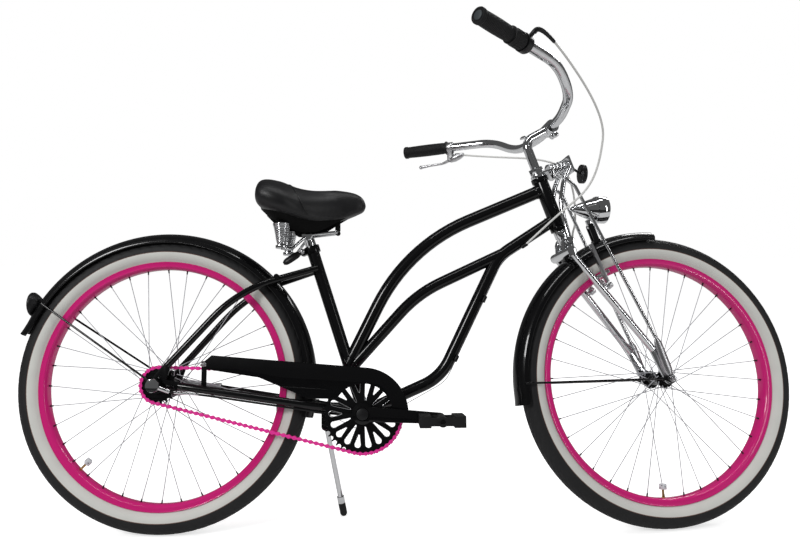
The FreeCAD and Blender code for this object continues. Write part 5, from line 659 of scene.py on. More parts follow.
# %% Fender section
FENDER_RADIUS = 354.0
FENDER_EDGE = 330.0
FENDER_HALF = 31.0
FENDER_WALL = 1.2
CROWN_RISE = 15.0
CROWN_BOW = (FENDER_HALF ** 2 + CROWN_RISE ** 2) / (2 * CROWN_RISE)
CROWN_ARC = 51.7
WIRE = 1.5


def fender_profile():
    outer = []
    for index in range(-12, 13):
        angle = math.radians(CROWN_ARC * index / 12)
        outer.append((FENDER_RADIUS - CROWN_BOW + CROWN_BOW * math.cos(angle), CROWN_BOW * math.sin(angle)))
    low = FENDER_EDGE
    first = [(low + WIRE, -FENDER_HALF), (low + 5, -FENDER_HALF), (low + 8.5, -FENDER_HALF)]
    outside = first + outer[1:-1] + [(radius, -y) for radius, y in first[::-1]]
    roll = [
        (low + WIRE * 0.3, FENDER_HALF + 0.6), (low - WIRE * 0.4, FENDER_HALF),
        (low - 0.1, FENDER_HALF - 1.6), (low + WIRE, FENDER_HALF - 1.8)
    ]
    inside = []
    for radius, y in outside[::-1]:
        wall = FENDER_WALL if abs(y) < FENDER_HALF - 2 else 0
        inside.append((radius - wall, y * (1 - FENDER_WALL / FENDER_HALF)))
    return outside + roll + inside[1:-1] + [(radius, -y) for radius, y in roll[::-1]]


print("fender outline points", len(fender_profile()))

# %% [markdown]
# Fenders. Each is that section spun over part of a turn about its wheel's axle, and the last few degrees
# open out into a lip. A curve with a bevel profile could do the same, but it can twist on its way, and a
# spun section can't.

# %% Fenders
FENDER_STEPS = 120
LIP_SHARE = 0.035
REAR_FENDER = (-13.0, 160.0)
FRONT_FENDER = (70.0, 170.0)


def fender(limits, lip):
    start, end = limits

    def opening(ring, index):
        past = max(0.0, ring / FENDER_STEPS - 1 + LIP_SHARE) / LIP_SHARE
        return -lip * past * past

    return lathe(fender_profile(), FENDER_STEPS, start, end - start, opening)


piece(
    "rear_fender_blade", fender(REAR_FENDER, 5.0), BIKE, black_enamel, "frame",
    ["rear_fender"], 30.0
)
hanger = block((13, 22, 14), (-13, 0, -79), 1.5)
front_blade = placed(fender(FRONT_FENDER, 2.0), Matrix.Translation(FORK_AXLE))
piece(
    "front_fender_blade", joined(front_blade, hanger), FORK, black_enamel, "fork",
    ["front_fender"], 30.0
)
print("fenders made")

# %% [markdown]
# Tubes, rods and wires. A bicycle's tubes are bent round a former, so each is made of straight runs joined
# by arcs. `bend` draws such a line, and `tube` sweeps a circle along it. A Bezier curve with a round bevel
# would be quicker to make, but its bends have no true radius.

# %% Tube tools
def bend(points, radii, step):
    """Straight runs with rounded corners, as a list of points."""
    points = [Vector(point) for point in points]
    route = [points[0]]
    for index, radius in enumerate(radii):
        corner = points[index + 1]
        back = (points[index] - corner).normalized()
        onward = (points[index + 2] - corner).normalized()
        half = back.angle(onward) / 2
        inward = (back + onward).normalized()
        centre = corner + inward * (radius / math.sin(half))
        sweep = math.pi - 2 * half
        normal = back.cross(onward).normalized()
        start = corner + back * (radius / math.tan(half)) - centre
        steps = max(2, int(math.degrees(sweep) / step))
        for share in range(steps + 1):
            route.append(centre + Matrix.Rotation(-sweep * share / steps, 3, normal) @ start)
    route.append(points[-1])
    return route


def tube(route, radius, sides=24, flat=1.0):
    """A round bar along a list of points. The radius may change from point to point."""
    route = [Vector(point) for point in route]
    radii = radius if isinstance(radius, (list, tuple)) else [radius] * len(route)
    tangents = []
    for index in range(len(route)):
        before = route[max(index - 1, 0)]
        after = route[min(index + 1, len(route) - 1)]
        tangents.append((after - before).normalized())
    side = tangents[0].orthogonal().normalized()
    points = []
    for index, point in enumerate(route):
        if index:
            side = tangents[index - 1].rotation_difference(tangents[index]) @ side
        other = tangents[index].cross(side)
        for corner in range(sides):
            angle = 2 * math.pi * corner / sides
            out = side * (radii[index] * math.cos(angle))
            points.append(point + out + other * (radii[index] * flat * math.sin(angle)))
    return points, ring_faces(len(route), sides)


print("tube tools ready")

# %% [markdown]
# Frame tubes. Three curved tubes and a straight seat tube make the frame. Cutting their ends to fit would
# be a boolean at every joint. Each tube simply ends inside its neighbour, and a small ring of weld lies
# where they meet. Points and bend radii are those of the frame's own drawing.

# %% Frame tubes
SEAT_ANGLE = 72.4
SEAT_TUBE_LENGTH = 408.0
STEER_ANGLE = 10.2
WELD_GAP = 3.0
WELD_BEAD = 1.7
NO_STEER = FORK @ Matrix.Rotation(math.radians(-STEER_ANGLE), 4, "Z")
TO_BIKE = BIKE.inverted() @ NO_STEER


def seat_point(distance):
    return BRACKET + unit(180 - SEAT_ANGLE) * distance


def head_point(height):
    return TO_BIKE @ Vector((0, 0, height))


def weld(point, direction, radius):
    """A low ring of weld round a tube."""
    low = [(radius - 0.6, -WELD_BEAD), (radius + WELD_BEAD * 0.4, -WELD_BEAD * 0.7)]
    high = [(out, -distance) for out, distance in low[::-1]]
    return spun(low + [(radius + WELD_BEAD * 0.75, 0)] + high, point, direction, 36)


TOP_ROUTE = bend([seat_point(115.6), BRACKET + Vector((105.5, 0, 387)), head_point(96)], [427], 3.0)
down_corner = head_point(0) + Vector((-146, 0, -71.5))
low_corner = BRACKET + Vector((180.6, 0, 78.5))
DOWN_ROUTE = bend([head_point(19), down_corner, low_corner, BRACKET], [114, 122], 3.0)
middle_foot = seat_point(104)
chord = down_corner + Vector((13.5, 0, 8)) - middle_foot
bow = Vector((-chord.z, 0, chord.x)).normalized() * 46
MIDDLE_ROUTE = bend([middle_foot, middle_foot + chord * 0.512 + bow, middle_foot + chord], [300], 3.0)
tubes = {
    "top_tube": (TOP_ROUTE, 15.4, 14.3, 17.5),
    "middle_tube": (MIDDLE_ROUTE, 13.5, 14.3, 0),
    "down_tube": (DOWN_ROUTE, 14.3, 17.5, 21.0),
    "seat_tube": ([BRACKET, seat_point(SEAT_TUBE_LENGTH)], 14.3, 21.0, 0),
}
for name, (route, radius, near, far) in tubes.items():
    beads = []
    for neighbour, tip, inner in ((near, route[0], route[1]), (far, route[-1], route[-2])):
        if neighbour:
            along_tube = (inner - tip).normalized()
            beads.append(weld(tip + along_tube * (neighbour + WELD_GAP), along_tube, radius))
    piece(
        name + "_bent", joined(tube(route, radius, 36), *beads), BIKE, black_enamel, "frame",
        [name]
    )
print("frame tubes", len(tubes))

# %% [markdown]
# Seat stays. Two thin tubes run from the rear axle to the seat tube, with a bridge that holds the fender.
# One side and a Mirror modifier would give them too, but a loop over both sides keeps plain points that can
# be read.

# %% Seat stays
STAY_Y = 62.5
stays = []
for side in (-1, 1):
    route = [(24, side * STAY_Y, 44), (180, side * 54, 214), seat_point(352) + Vector((0, side * 18.3, 0))]
    stays.append(tube(bend(route, [300], 3.0), 8.0))
bridge = unit(42.8) * (FENDER_RADIUS + 6.45)
stays.append(tube([bridge - Vector((0, 50, 0)), bridge + Vector((0, 50, 0))], 6.4))
piece("seat_stays_bent", joined(*stays), BIKE, black_enamel, "frame", ["seat_stays"])
print("stays and bridge", len(stays))

# %% [markdown]
# Fork sheaths. Bright flat sheaths cover the lower ends of the fork blades. They could be lofted through
# oval sections. A round tube whose radius changes from point to point, squeezed across, gives the same form
# in fewer steps.

# %% Fork sheaths
sheaths = []
for side in (-1, 1):
    flattened = Matrix.Translation((0, side * 60, 0)) @ Matrix.Diagonal((1, 0.55, 1, 1))
    sheath = tube([(97, 0, -322), (97, 0, -334), (96, 0, -398), (95, 0, -410)], [5, 9.5, 10.5, 7], 28)
    sheaths.append(placed(sheath, flattened))
piece("fork_sheaths", joined(*sheaths), FORK, steel, "fork")
print("pieces so far", len(made))

# %% [markdown]
# Chain line. The pins of a roller chain lie on two pitch circles and on the straight runs between them. An
# array along a curve would space them by the curve's length, and they would slip out of the teeth. So the
# pins are counted: some round the ring, some round the cog, and the rest in two equal runs.

# %% Chain line
PITCH = 12.7
RING_TEETH, COG_TEETH, CHAIN_LINKS = 44, 20, 106
RING_WRAP, COG_WRAP = 23, 9
HEADING = -math.degrees(fall)


def pitch_radius(teeth):
    return PITCH / (2 * math.sin(math.pi / teeth))


def wrapped(centre, middle, teeth, wrap):
    """Pins round a toothed wheel, on both sides of a middle angle."""
    angles = [middle - (wrap / 2 - i) * 360 / teeth for i in range(wrap + 1)]
    return [centre + unit(angle) * pitch_radius(teeth) for angle in angles]


def chain_pins():
    ring = wrapped(BRACKET, HEADING, RING_TEETH, RING_WRAP)
    cog = wrapped(Vector(), HEADING + 180, COG_TEETH, COG_WRAP)
    run = (CHAIN_LINKS - RING_WRAP - COG_WRAP) // 2
    upper = [ring[-1].lerp(cog[0], i / run) for i in range(1, run)]
    lower = [cog[-1].lerp(ring[0], i / run) for i in range(1, run)]
    return ring + upper + cog + lower


pins = chain_pins()
print("chain pins", len(pins))

# %% [markdown]
# Chain links. Inner and outer links alternate, and every plate has a waist between two round ends. A
# texture on a ribbon would look flat from close by. So all plates, rollers and pins are real, copied from a
# few small shapes to every pair of pins.

# %% Chain links
CHAIN_LINE = 45.0
PLATE = 1.2
INNER_HALF = 1.7
LINK_END, LINK_WAIST = 4.4, 1.7


def arc(centre, radius, first, last, steps):
    """Points on a circle in the plane of the wheels."""
    return [Vector(centre) + unit(first + (last - first) * i / steps) * radius for i in range(steps + 1)]


def link_outline():
    """Outline of one plate, narrow between its two round ends."""
    loop = []
    for centre, first in ((PITCH, -115), (0, 65)):
        loop += arc((centre, 0, 0), LINK_END, first, first + 230, 10)
        loop.append(Vector((PITCH / 2, 0, -math.copysign(LINK_WAIST, first))))
    return loop


def extruded(loop, y, thickness):
    points = [Vector((point.x, level, point.z)) for level in (y, y + thickness) for point in loop]
    return points, ring_faces(2, len(loop))


outline = link_outline()
roller = lathe([(0, -INNER_HALF), (3.9, -INNER_HALF), (3.9, INNER_HALF), (0, INNER_HALF)], 14)
stub = lathe([(0, -4.6), (1.7, -4.6), (1.9, -4.2), (1.9, 4.2), (1.7, 4.6), (0, 4.6)], 12)
links = []
for index, pin in enumerate(pins):
    onward = pins[(index + 1) % len(pins)] - pin
    heading = Matrix.Rotation(-math.atan2(onward.z, onward.x), 4, "Y")
    turn = Matrix.Translation(pin - Vector((0, CHAIN_LINE, 0))) @ heading
    near = INNER_HALF + (index % 2) * PLATE
    for y in (near, -near - PLATE):
        links.append(placed(extruded(outline, y, PLATE), turn))
    links += [placed(roller, turn), placed(stub, turn)]
piece("roller_chain", joined(*links), BIKE, pink_chain, "frame", ["chain"], 30.0)
print("chain shapes", len(links))

# %% [markdown]
# Plates. Chainring, cog and guard are stamped from flat sheet. Cutting their holes with booleans often
# leaves long thin faces. Blender fills a flat curve and takes the inner outlines as holes, and the curve's
# own bevel rounds the edges, so a plate needs nothing but outlines.

# %% Plate tools
def curve_shape(curve):
    """Points and faces of a curve, which is then removed."""
    holder = bpy.data.objects.new(curve.name, curve)
    bpy.context.scene.collection.objects.link(holder)
    mesh = bpy.data.meshes.new_from_object(holder.evaluated_get(bpy.context.evaluated_depsgraph_get()))
    shape = [vertex.co.copy() for vertex in mesh.vertices], [tuple(face.vertices) for face in mesh.polygons]
    bpy.data.objects.remove(holder)
    bpy.data.curves.remove(curve)
    bpy.data.meshes.remove(mesh)
    return shape


def sheet_plate(loops, y, thickness, edge):
    """A flat plate in the plane of the wheels. The first outline is its outside, and the rest are holes."""
    curve = bpy.data.curves.new("outline", "CURVE")
    curve.dimensions = "2D"
    curve.fill_mode = "BOTH"
    curve.extrude = thickness / 2 - edge
    curve.bevel_depth = edge
    curve.bevel_resolution = 2
    curve.offset = -edge
    for loop in loops:
        spline = curve.splines.new("POLY")
        spline.points.add(len(loop) - 1)
        spline.use_cyclic_u = True
        for point, corner in zip(spline.points, loop):
            point.co = (corner.x, corner.z, 0, 1)
    points, faces = curve_shape(curve)
    return [Vector((point.x, y + thickness / 2 - point.z, point.y)) for point in points], faces


print("plate tools ready")

# %% [markdown]
# Chainring. It has teeth round its edge and eighteen teardrop slots, long and short by turns. One tooth and
# one slot are drawn and repeated by angle, and the gap between two teeth comes from the size of a chain
# roller, so the chain really fits. A thin bright rim lies on the edge of every slot.

# %% Chainring
RING_SLOTS = 18
SLOT_CENTRE, SLOT_RADIUS, SLOT_TIP = 70.0, 7.0, 1.6
LONG_SLOT, SHORT_SLOT = 29.0, 47.0
TOOTH_WALL = 2.6
TOOTH_Y = -CHAIN_LINE - TOOTH_WALL / 2
TOOTH_HEIGHT, ROLLER_SEAT = 3.6, 4.4


def teeth_outline(teeth, first):
    radius = pitch_radius(teeth)
    step = 360.0 / teeth
    loop = []
    for index in range(teeth):
        angle = first + index * step
        loop += [unit(angle + step * share) * (radius + TOOTH_HEIGHT) for share in (-0.1, 0.1)]
        seat = unit(angle + step / 2)
        across = Vector((-seat.z, 0, seat.x))
        for turn in range(-80, 81, 32):
            swing = math.radians(turn)
            low = across * math.sin(swing) - seat * math.cos(swing)
            loop.append(seat * radius + low * ROLLER_SEAT)
    return loop


def slot_outline(angle, inner):
    lean = math.degrees(math.acos((SLOT_RADIUS - SLOT_TIP) / (SLOT_CENTRE - inner)))
    outer_end = arc((SLOT_CENTRE, 0, 0), SLOT_RADIUS, -180 + lean, 180 - lean, 14)
    inner_end = arc((inner + 2, 0, 0), SLOT_TIP, 180 - lean, 180 + lean, 6)
    return [Matrix.Rotation(math.radians(-angle), 3, "Y") @ point for point in outer_end + inner_end]


slots = [slot_outline(360 / RING_SLOTS * i, SHORT_SLOT if i % 2 else LONG_SLOT) for i in range(RING_SLOTS)]
ring_outline = teeth_outline(RING_TEETH, HEADING)
ring = sheet_plate([ring_outline, *slots, arc((0, 0, 0), 8.6, 0, 345, 23)], TOOTH_Y, TOOTH_WALL, 0.35)
rib = ((78.5, -2.1), (84.0, -2.1), (84.0, -1.2), (78.5, -1.2))
band = lathe([(radius, y - CHAIN_LINE) for radius, y in rib], 120)
ring_place = BIKE @ Matrix.Translation(BRACKET)
piece(
    "slotted_chainring", joined(ring, band), ring_place, black_enamel, "crank",
    ["chainring"], 30.0
)
near_face = Vector((0, TOOTH_Y, 0))
slot_rims = [tube([point + near_face for point in loop + loop[:1]], 0.5, 8) for loop in slots]
piece("slot_rims", joined(*slot_rims), ring_place, steel, "crank")
print("ring slots", len(slots))

# %% [markdown]
# Cog and crank cap. The driven cog could be a scaled chainring, but then the chain wouldn't fit it, so the
# same function draws it with fewer teeth. A cap covers the bolt of the crank, and like any turned cap it is
# a spun outline.

# %% Cog and crank cap
cog_outline = teeth_outline(COG_TEETH, HEADING + 180)
cog = sheet_plate([cog_outline, arc((0, 0, 0), 5.2, 0, 345, 23)], TOOTH_Y, TOOTH_WALL, 0.35)
carrier = lathe([(5.1, -35.3), (22, -35.3), (22, -43), (20, -44), (5.1, -44)], 60)
piece(
    "driven_cog", joined(cog, carrier), BIKE, black_enamel, "sprocket", ["rear_sprocket"],
    30.0
)
cap = lathe([(0, -76.5), (9, -76.3), (12.5, -75), (13, -70.05), (0, -70.05)], 48)
piece("crank_cap", cap, ring_place, plastic, "crank")
print("cog teeth", COG_TEETH)

# %% [markdown]
# Chain guard. A bare black plate covers the upper run of the chain and the front of the ring. Its top edge
# could be drawn point by point. It is an arc round the ring that runs off along a tangent, and the angle
# where they meet is worked out, so the edge has no kink.

# %% Guard plate
GUARD_Y = CHAIN_LINE + INNER_HALF + 2 * PLATE + 3.5
GUARD_WALL = 1.2
GUARD_RADIUS, GUARD_OPENING = 103.0, 67.0
GUARD_FRONT, GUARD_BACK = -5.0, 150.0
TAIL = Vector((120, 0, 66))
BELLY = [Vector((94, 0, 44)), Vector((112, 0, 34)), Vector((228, 0, 15)), Vector((340, 0, -33))]
gap = TAIL - BRACKET
top_angle = math.degrees(math.atan2(gap.z, gap.x) - math.acos(GUARD_RADIUS / gap.length))
top_edge = arc(BRACKET, GUARD_RADIUS, GUARD_FRONT, top_angle, 40) + [TAIL]
outline = top_edge + BELLY + arc(BRACKET, GUARD_OPENING, GUARD_BACK, GUARD_FRONT, 48)
face = sheet_plate([outline], -GUARD_Y - GUARD_WALL, GUARD_WALL, 0.3)
print("guard outline points", len(outline))

# %% [markdown]
# Guard edge and fixings. The guard's top edge is folded inwards, which keeps a thin sheet stiff, and a
# crease is pressed into its face. A Solidify modifier thickens a sheet but doesn't fold it, so a strip
# follows the edge. An arm holds the guard to the seat tube, and a bolted strap holds it to the chain stay.

# %% Guard edge and fixings
def lip(edge, low, high, wall):
    """A strip that stands on an edge, with a rounded fold."""
    points = []
    for index, point in enumerate(edge):
        before = edge[max(index - 1, 0)]
        after = edge[min(index + 1, len(edge) - 1)]
        run = (after - before).normalized()
        inward = Vector((-run.z, 0, run.x))
        for depth, y in ((wall, low), (0.5, low), (0, low + 0.8), (0, high), (wall, high)):
            points.append(Vector((point.x, y, point.z)) + inward * depth)
    return points, ring_faces(len(edge), len(points) // len(edge))


fold = lip(top_edge, -GUARD_Y - GUARD_WALL, -GUARD_Y + 12, GUARD_WALL)
foot = seat_point(104)
arm = tube([(foot.x, -GUARD_Y, foot.z), (foot.x, -15.6, foot.z)], 3.0)
strap = block((12, 1.4, 62), (104, -GUARD_Y + 0.6, 22), 0.5)
strap_bolt = spun(
    [(0, 0), (5.5, 0), (5.5, 1.6), (4, 3.4), (0, 3.8)], (104, -GUARD_Y - GUARD_WALL, 45), (0, -1, 0), 24
)
crease_y = -GUARD_Y - GUARD_WALL + 0.3
crease = tube([(272, crease_y, -5), (313, crease_y, -8), (398, crease_y, -15)], [0.2, 1.0, 0.2], 12)
piece(
    "guard_plate", joined(face, fold, arm, strap, crease), BIKE, black_enamel, "frame",
    ["chain_guard"], 30.0
)
piece("guard_bolt", strap_bolt, BIKE, steel, "frame")
print("guard made")

# %% [markdown]
# Handlebar. The bar rises and sweeps back through three bends on each side. Two mirrored halves would leave
# a seam in the middle, so one side is drawn, its mirror image is put before it, and one tube runs through
# both.

# %% Handlebar
BAR_CENTRE = Vector((74, 0, 236))
BAR_SIDE = [Vector((0, 71, 0)), Vector((-20, 181, 12)), Vector((-51, 236, 69)), Vector((-249, 380, 150))]


def other_side(point):
    return Vector((point.x, -point.y, point.z))


def bar_point(side, distance):
    inward = (BAR_SIDE[2] - BAR_SIDE[3]).normalized()
    point = BAR_SIDE[3] + inward * distance
    return BAR_CENTRE + (point if side > 0 else other_side(point))


bar_route = [BAR_CENTRE + other_side(point) for point in BAR_SIDE[::-1]]
bar_route += [BAR_CENTRE + point for point in BAR_SIDE]
bar_shape = tube(bend(bar_route, [140, 110, 300, 300, 110, 140], 3.0), 11.1, 32)
piece("swept_bar", bar_shape, FORK, chrome, "steering", ["handlebar"])
print("bar points", len(bar_shape[0]))

# %% [markdown]
# Stem. A quill stem rises from the head tube, turns forward and holds the bar in a clamp with a binder
# bolt. It could be one carved mesh. A bent tube, spun outlines and a rounded block that run into each other
# are easier to change, and they look forged together.

# %% Stem
quill = tube(bend([(0, 0, 80), (0, 0, 222), BAR_CENTRE], [26], 5.0), 11.05, 32)
clamp = spun(
    [(11.15, -20), (15.6, -20), (16.5, -18.5), (16.5, 18.5), (15.6, 20), (11.15, 20)], BAR_CENTRE,
    (0, 1, 0), 48
)
ears = block((20, 16, 9), BAR_CENTRE + Vector((4, 0, -20)), 2.0)
binder = spun(
    [(0, -13), (5, -13), (5.6, -12), (5.6, -8), (3, -8), (3, 9), (5.4, 9), (5.4, 13), (0, 13)],
    BAR_CENTRE + Vector((4, 0, -20)), (0, 1, 0), 24
)
wedge_bolt = spun([(0, 0), (8.5, 0), (8.5, 3), (6, 4.5), (0, 4.8)], (0, 0, 231), (0, 0, 1), 32)
piece(
    "quill_stem", joined(quill, clamp, ears, binder, wedge_bolt), FORK, chrome, "steering",
    ["stem"]
)
print("stem made")

# %% [markdown]
# Grips. They are ribbed rubber sleeves with a ring at each end. The ribs could be a bump, but they show in
# the outline of the grip, so they are part of the spun profile. The right grip is shorter, to leave room
# for the shifter.

# %% Grips
GRIP_FLANGE = 4.0


def grip_profile(length):
    """Outline of a rubber grip, with a ring at each end and shallow ribs between them."""
    profile = [(0, -4), (12, -4), (13, -5.2), (16.4, -5.2), (17.2, -3.5), (17.2, 2), (16, 3.5)]
    ribs = int((length - 16) / 4)
    for index in range(ribs):
        start = 6 + index * 4.0
        swell = 0.8 * math.sin(math.pi * index / ribs)
        profile += [
            (15.3 + swell, start), (15.9 + swell, start + 0.9), (15.9 + swell, start + 2.4),
            (15.3 + swell, start + 3.3)
        ]
    end = length - GRIP_FLANGE
    return profile + [
        (15.6, end - 1), (18.5, end), (18.5, length - 0.6), (17.6, length), (11.2, length), (11.2, 0),
        (0, 0)
    ]


plug = [(0, -6.4), (8, -6.4), (9.5, -5.8), (10, -4.6), (0, -4.6)]
grips, plugs = [], []
for side, length in ((1, 125.0), (-1, 96.0)):
    tip = bar_point(side, 0)
    inward = bar_point(side, 10) - tip
    grips.append(spun(grip_profile(length), tip, inward, 48))
    plugs.append(spun(plug, tip, inward, 40))
piece("ribbed_grips", joined(*grips), FORK, rubber, "steering", ["grips"])
piece("grip_plugs", joined(*plugs), FORK, slate, "steering")
print("grips", len(grips))

# %% [markdown]
# Twist shifter. A ring with raised ribs turns beside the right grip and winds the gear cable, which leaves
# the housing through an elbow. Ribs in a spun outline would run round the ring and not along it, so they
# are thin bars set about the axis.

# %% Twist shifter
SHIFT_NEAR = 96.3
bar_in = (bar_point(-1, 10) - bar_point(-1, 0)).normalized()
twist = [(11.2, 0), (16.6, 0), (17.4, 1.5), (17.4, 5), (18, 7), (18, 30), (17.4, 33), (16.8, 34), (11.2, 34)]
twist_ring = spun(twist, bar_point(-1, SHIFT_NEAR), bar_in, 60)
knurls = []
for index in range(20):
    direction = Matrix.Rotation(math.radians(18 * index), 3, bar_in) @ bar_in.orthogonal().normalized()
    start = bar_point(-1, SHIFT_NEAR + 8) + direction * 17.7
    knurls.append(tube([start, start + bar_in * 21], 1.3, 8))
piece("twist_ring", joined(twist_ring, *knurls), FORK, rubber, "shifter", ["shifter_grip"])
housing_at = bar_point(-1, SHIFT_NEAR + 34.3)
cable_out = (Vector((1, 0, 0)) - bar_in * bar_in.x).normalized()
housing = spun(
    [(11.2, 0), (19, 0), (20, 1.2), (20, 15), (19, 17), (16, 20), (11.2, 20)], housing_at, bar_in, 60
)
middle = bar_point(-1, SHIFT_NEAR + 44.3)
elbow_route = [middle + cable_out * 13, middle + cable_out * 26 - bar_in * 2, middle + cable_out * 33]
elbow = tube(bend(elbow_route, [30], 6.0), 4.6, 20)
collar = spun([(2.4, 0), (5.4, 0), (5.4, 4), (4.6, 5), (2.4, 5)], middle + cable_out * 28, cable_out, 20)
piece(
    "shifter_housing", joined(housing, elbow, collar), FORK, plastic, "steering",
    ["shifter_body"]
)
print("pieces so far", len(made))

# %% [markdown]
# Brake lever. A clamp on the bar, kept from the CAD frame, carries the lever's body, and the blade curves
# away from the grip to a ball end. Forged blades are thinner in the middle, so a swept tube with a changing
# radius suits them. It is drawn in the lever's own axes, where its points are simple.

# %% Brake lever
LEVER_UP = Vector((0.254, -0.185, 0.949))
lever_x = (BAR_SIDE[3] - BAR_SIDE[2]).normalized()
lever_z = (LEVER_UP - lever_x * LEVER_UP.dot(lever_x)).normalized()
LEVER = FORK @ axes(bar_point(1, 125.3 + 7.5), lever_x, lever_z.cross(lever_x), lever_z)
blade_route = bend([(0, 0, -34), (24, 0, -43), (70, 0, -45), (92, 0, -47)], [40, 60], 4.0)
count = len(blade_route)
blade = tube(blade_route, [4.6 - 1.2 * math.sin(math.pi * i / (count - 1)) for i in range(count)], 20, 0.8)
ball = spun(
    [(0, -5.5), (2.5, -4.9), (4.4, -3.3), (5.4, -1), (5.4, 1), (4.4, 3.3), (2.5, 4.9), (0, 5.5)],
    (92, 0, -47), (0, 1, 0), 24
)
eye = spun(
    [(2.6, -3.9), (6, -3.9), (6.5, -3.4), (6.5, 3.4), (6, 3.9), (2.6, 3.9)], (0, 0, -34), (0, 1, 0), 32
)
body = tube(
    [(8, 0, -35), (0, 0, -34), (-12, 0, -31), (-26, 0, -27), (-40, 0, -23)], [4, 8.5, 10.5, 9, 4.5], 28
)
piece("lever_body", body, LEVER, alloy, "steering")
piece("lever_blade", joined(blade, ball, eye), LEVER, alloy, "lever", ["brake_lever"])
print("blade sections", count)

# %% [markdown]
# Quick release. The lever that closes the seat clamp has a thick moulded handle and a bright cam. It could
# be placed by measuring the clamp, but it has to turn about its joint, so its place is read from there.

# %% Quick release
cam_at = BIKE.inverted() @ spot("seat_lever_open")
lever_way = unit(180 + 33)
handle = tube(
    [cam_at + lever_way * (7 + 5 * i) for i in range(10)], [6, 8.5, 9.4, 9.6, 9.6, 9.6, 9.5, 9.2, 8, 4], 24,
    0.75
)
piece("release_handle", handle, BIKE, plastic, "quick_release", ["seat_lever"])
cam = [(0, -6.6), (3.6, -5.6), (5.8, -3.2), (6.6, 0), (5.8, 3.2), (3.6, 5.6), (0, 6.6)]
piece("release_cam", spun(cam, cam_at, (0, 1, 0), 32), BIKE, steel, "quick_release")
print("quick release made")

# %% [markdown]
# Fork spring. A coil spring is one wire along a helix. A Screw modifier makes a helix, but not the closer
# turns at its ends, so the points come from a formula. The spring is held between the perch that steers and
# the yoke that rocks, and here it rides on no body, so it stays where it is drawn.

# %% Fork spring
COIL_STEPS = 32
END_EASE = 0.045


def coil(radius_low, radius_high, length, turns, wire):
    route = []
    steps = COIL_STEPS * turns
    rise = length - 2 * wire
    for index in range(steps + 1):
        share = index / steps
        eased = share - END_EASE * math.sin(2 * math.pi * share)
        radius = radius_low + (radius_high - radius_low) * share
        angle = 2 * math.pi * turns * share
        route.append((radius * math.cos(angle), radius * math.sin(angle), wire + rise * eased))
    return tube(route, wire, 14)


SPRING_AT, SPRING_END = Vector((33, 0, 131)), Vector((73, 0, 131))
spring_turn = Matrix.Translation(SPRING_AT) @ Matrix.Rotation(math.radians(90), 4, "Y")
fork_coil = piece(
    "fork_coil", placed(coil(16, 16, 40, 4, 3.2), spring_turn), FORK, chrome, None,
    ["fork_spring"]
)
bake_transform(fork_coil)
print("fork spring points", len(fork_coil.data.vertices))

# %% [markdown]
# Saddle springs. Two conical springs carry the back of the saddle, each under a cap. Scaling the fork
# spring would make its wire oval, so the same formula runs again with a radius that grows. The caps ride on
# the saddle, and the springs ride on no body.

# %% Saddle springs
SADDLE_PAN = 368.0
SPRING_X, SPRING_Y, SPRING_LENGTH = 277, 55, 52
cap = [(0, -7), (17, -7), (20, -5), (20, -0.4), (0, -0.4)]
coils, caps = [], []
for side in (-1, 1):
    seat = Matrix.Translation((SPRING_X, side * SPRING_Y, SADDLE_PAN - SPRING_LENGTH))
    coils.append(placed(coil(8, 19, SPRING_LENGTH, 13, 2.0), seat))
    caps.append(spun(cap, (SPRING_X, side * SPRING_Y, SADDLE_PAN), (0, 0, 1), 40))
piece("spring_caps", joined(*caps), BIKE, plastic, "saddle")
saddle_coils = piece("saddle_coils", joined(*coils), BIKE, chrome, None, ["saddle_springs"])
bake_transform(saddle_coils)
print("springs made")

# %% [markdown]
# Saddle form. A broad saddle has a raised round back, a waist and a long nose. Sculpting would leave no
# sizes to read, so it is lofted: each cross section has a place, a half width and two heights, and one
# outline is fitted to all of them.

# %% Saddle form
STATIONS = [
    (214, 62, 420, 438), (217, 86, 414, 454), (221, 100, 408, 470), (228, 109, 402, 480),
    (242, 115, 395, 481), (262, 119, 388, 475), (286, 116, 382, 464), (312, 101, 378, 453),
    (344, 72, 377, 450), (378, 52, 381, 452), (410, 39, 388, 455), (438, 31, 396, 455), (460, 23, 402, 448),
    (471, 13, 407, 432),
]
COVER_SIDE = (
    (0.0, 0.72), (0.06, 0.86), (0.2, 0.97), (0.38, 1.0), (0.56, 0.97), (0.72, 0.88), (0.86, 0.72),
    (0.95, 0.52), (0.99, 0.28)
)


def saddle_section(x, half, low, top, outline):
    """Points of one cross section, up one side, over the crown and down the other."""
    height = top - low
    side = [Vector((x, half * out, low + height * share)) for share, out in outline]
    crown = [Vector((x, 0, top - height * 0.015))]
    return side + crown + [other_side(point) for point in side[::-1]]


def loft(stations, outline, inset=0.0):
    """Closed skin through the cross sections."""
    rings = []
    for x, half, low, top in stations:
        rings.append(saddle_section(x, half - inset, low + inset * 0.4, top - inset, outline))
    return [point for ring in rings for point in ring], ring_faces(len(rings), len(rings[0]))


print("saddle sections", len(STATIONS))

# %% [markdown]
# Cushion. Padding under a stretched cover has no flat face and no sharp edge. Smoothing alone would shrink
# it. So the loft is made a little small, remeshed evenly and swollen by a short cloth simulation with air
# pressure, and a limit holds back any point that would move too far.

# %% Cushion
VOXEL, SWELL = 0.005, 0.006
AIR_PRESSURE, COVER_STIFFNESS, AIR_FRAMES = 4.0, 30.0, 20


def applied(thing, kind, **settings):
    """Adds a modifier and keeps its result as the mesh."""
    modifier = thing.modifiers.new(kind.lower(), kind)
    for name, value in settings.items():
        setattr(modifier, name, value)
    mesh = bpy.data.meshes.new_from_object(thing.evaluated_get(bpy.context.evaluated_depsgraph_get()))
    thing.modifiers.clear()
    thing.data = mesh


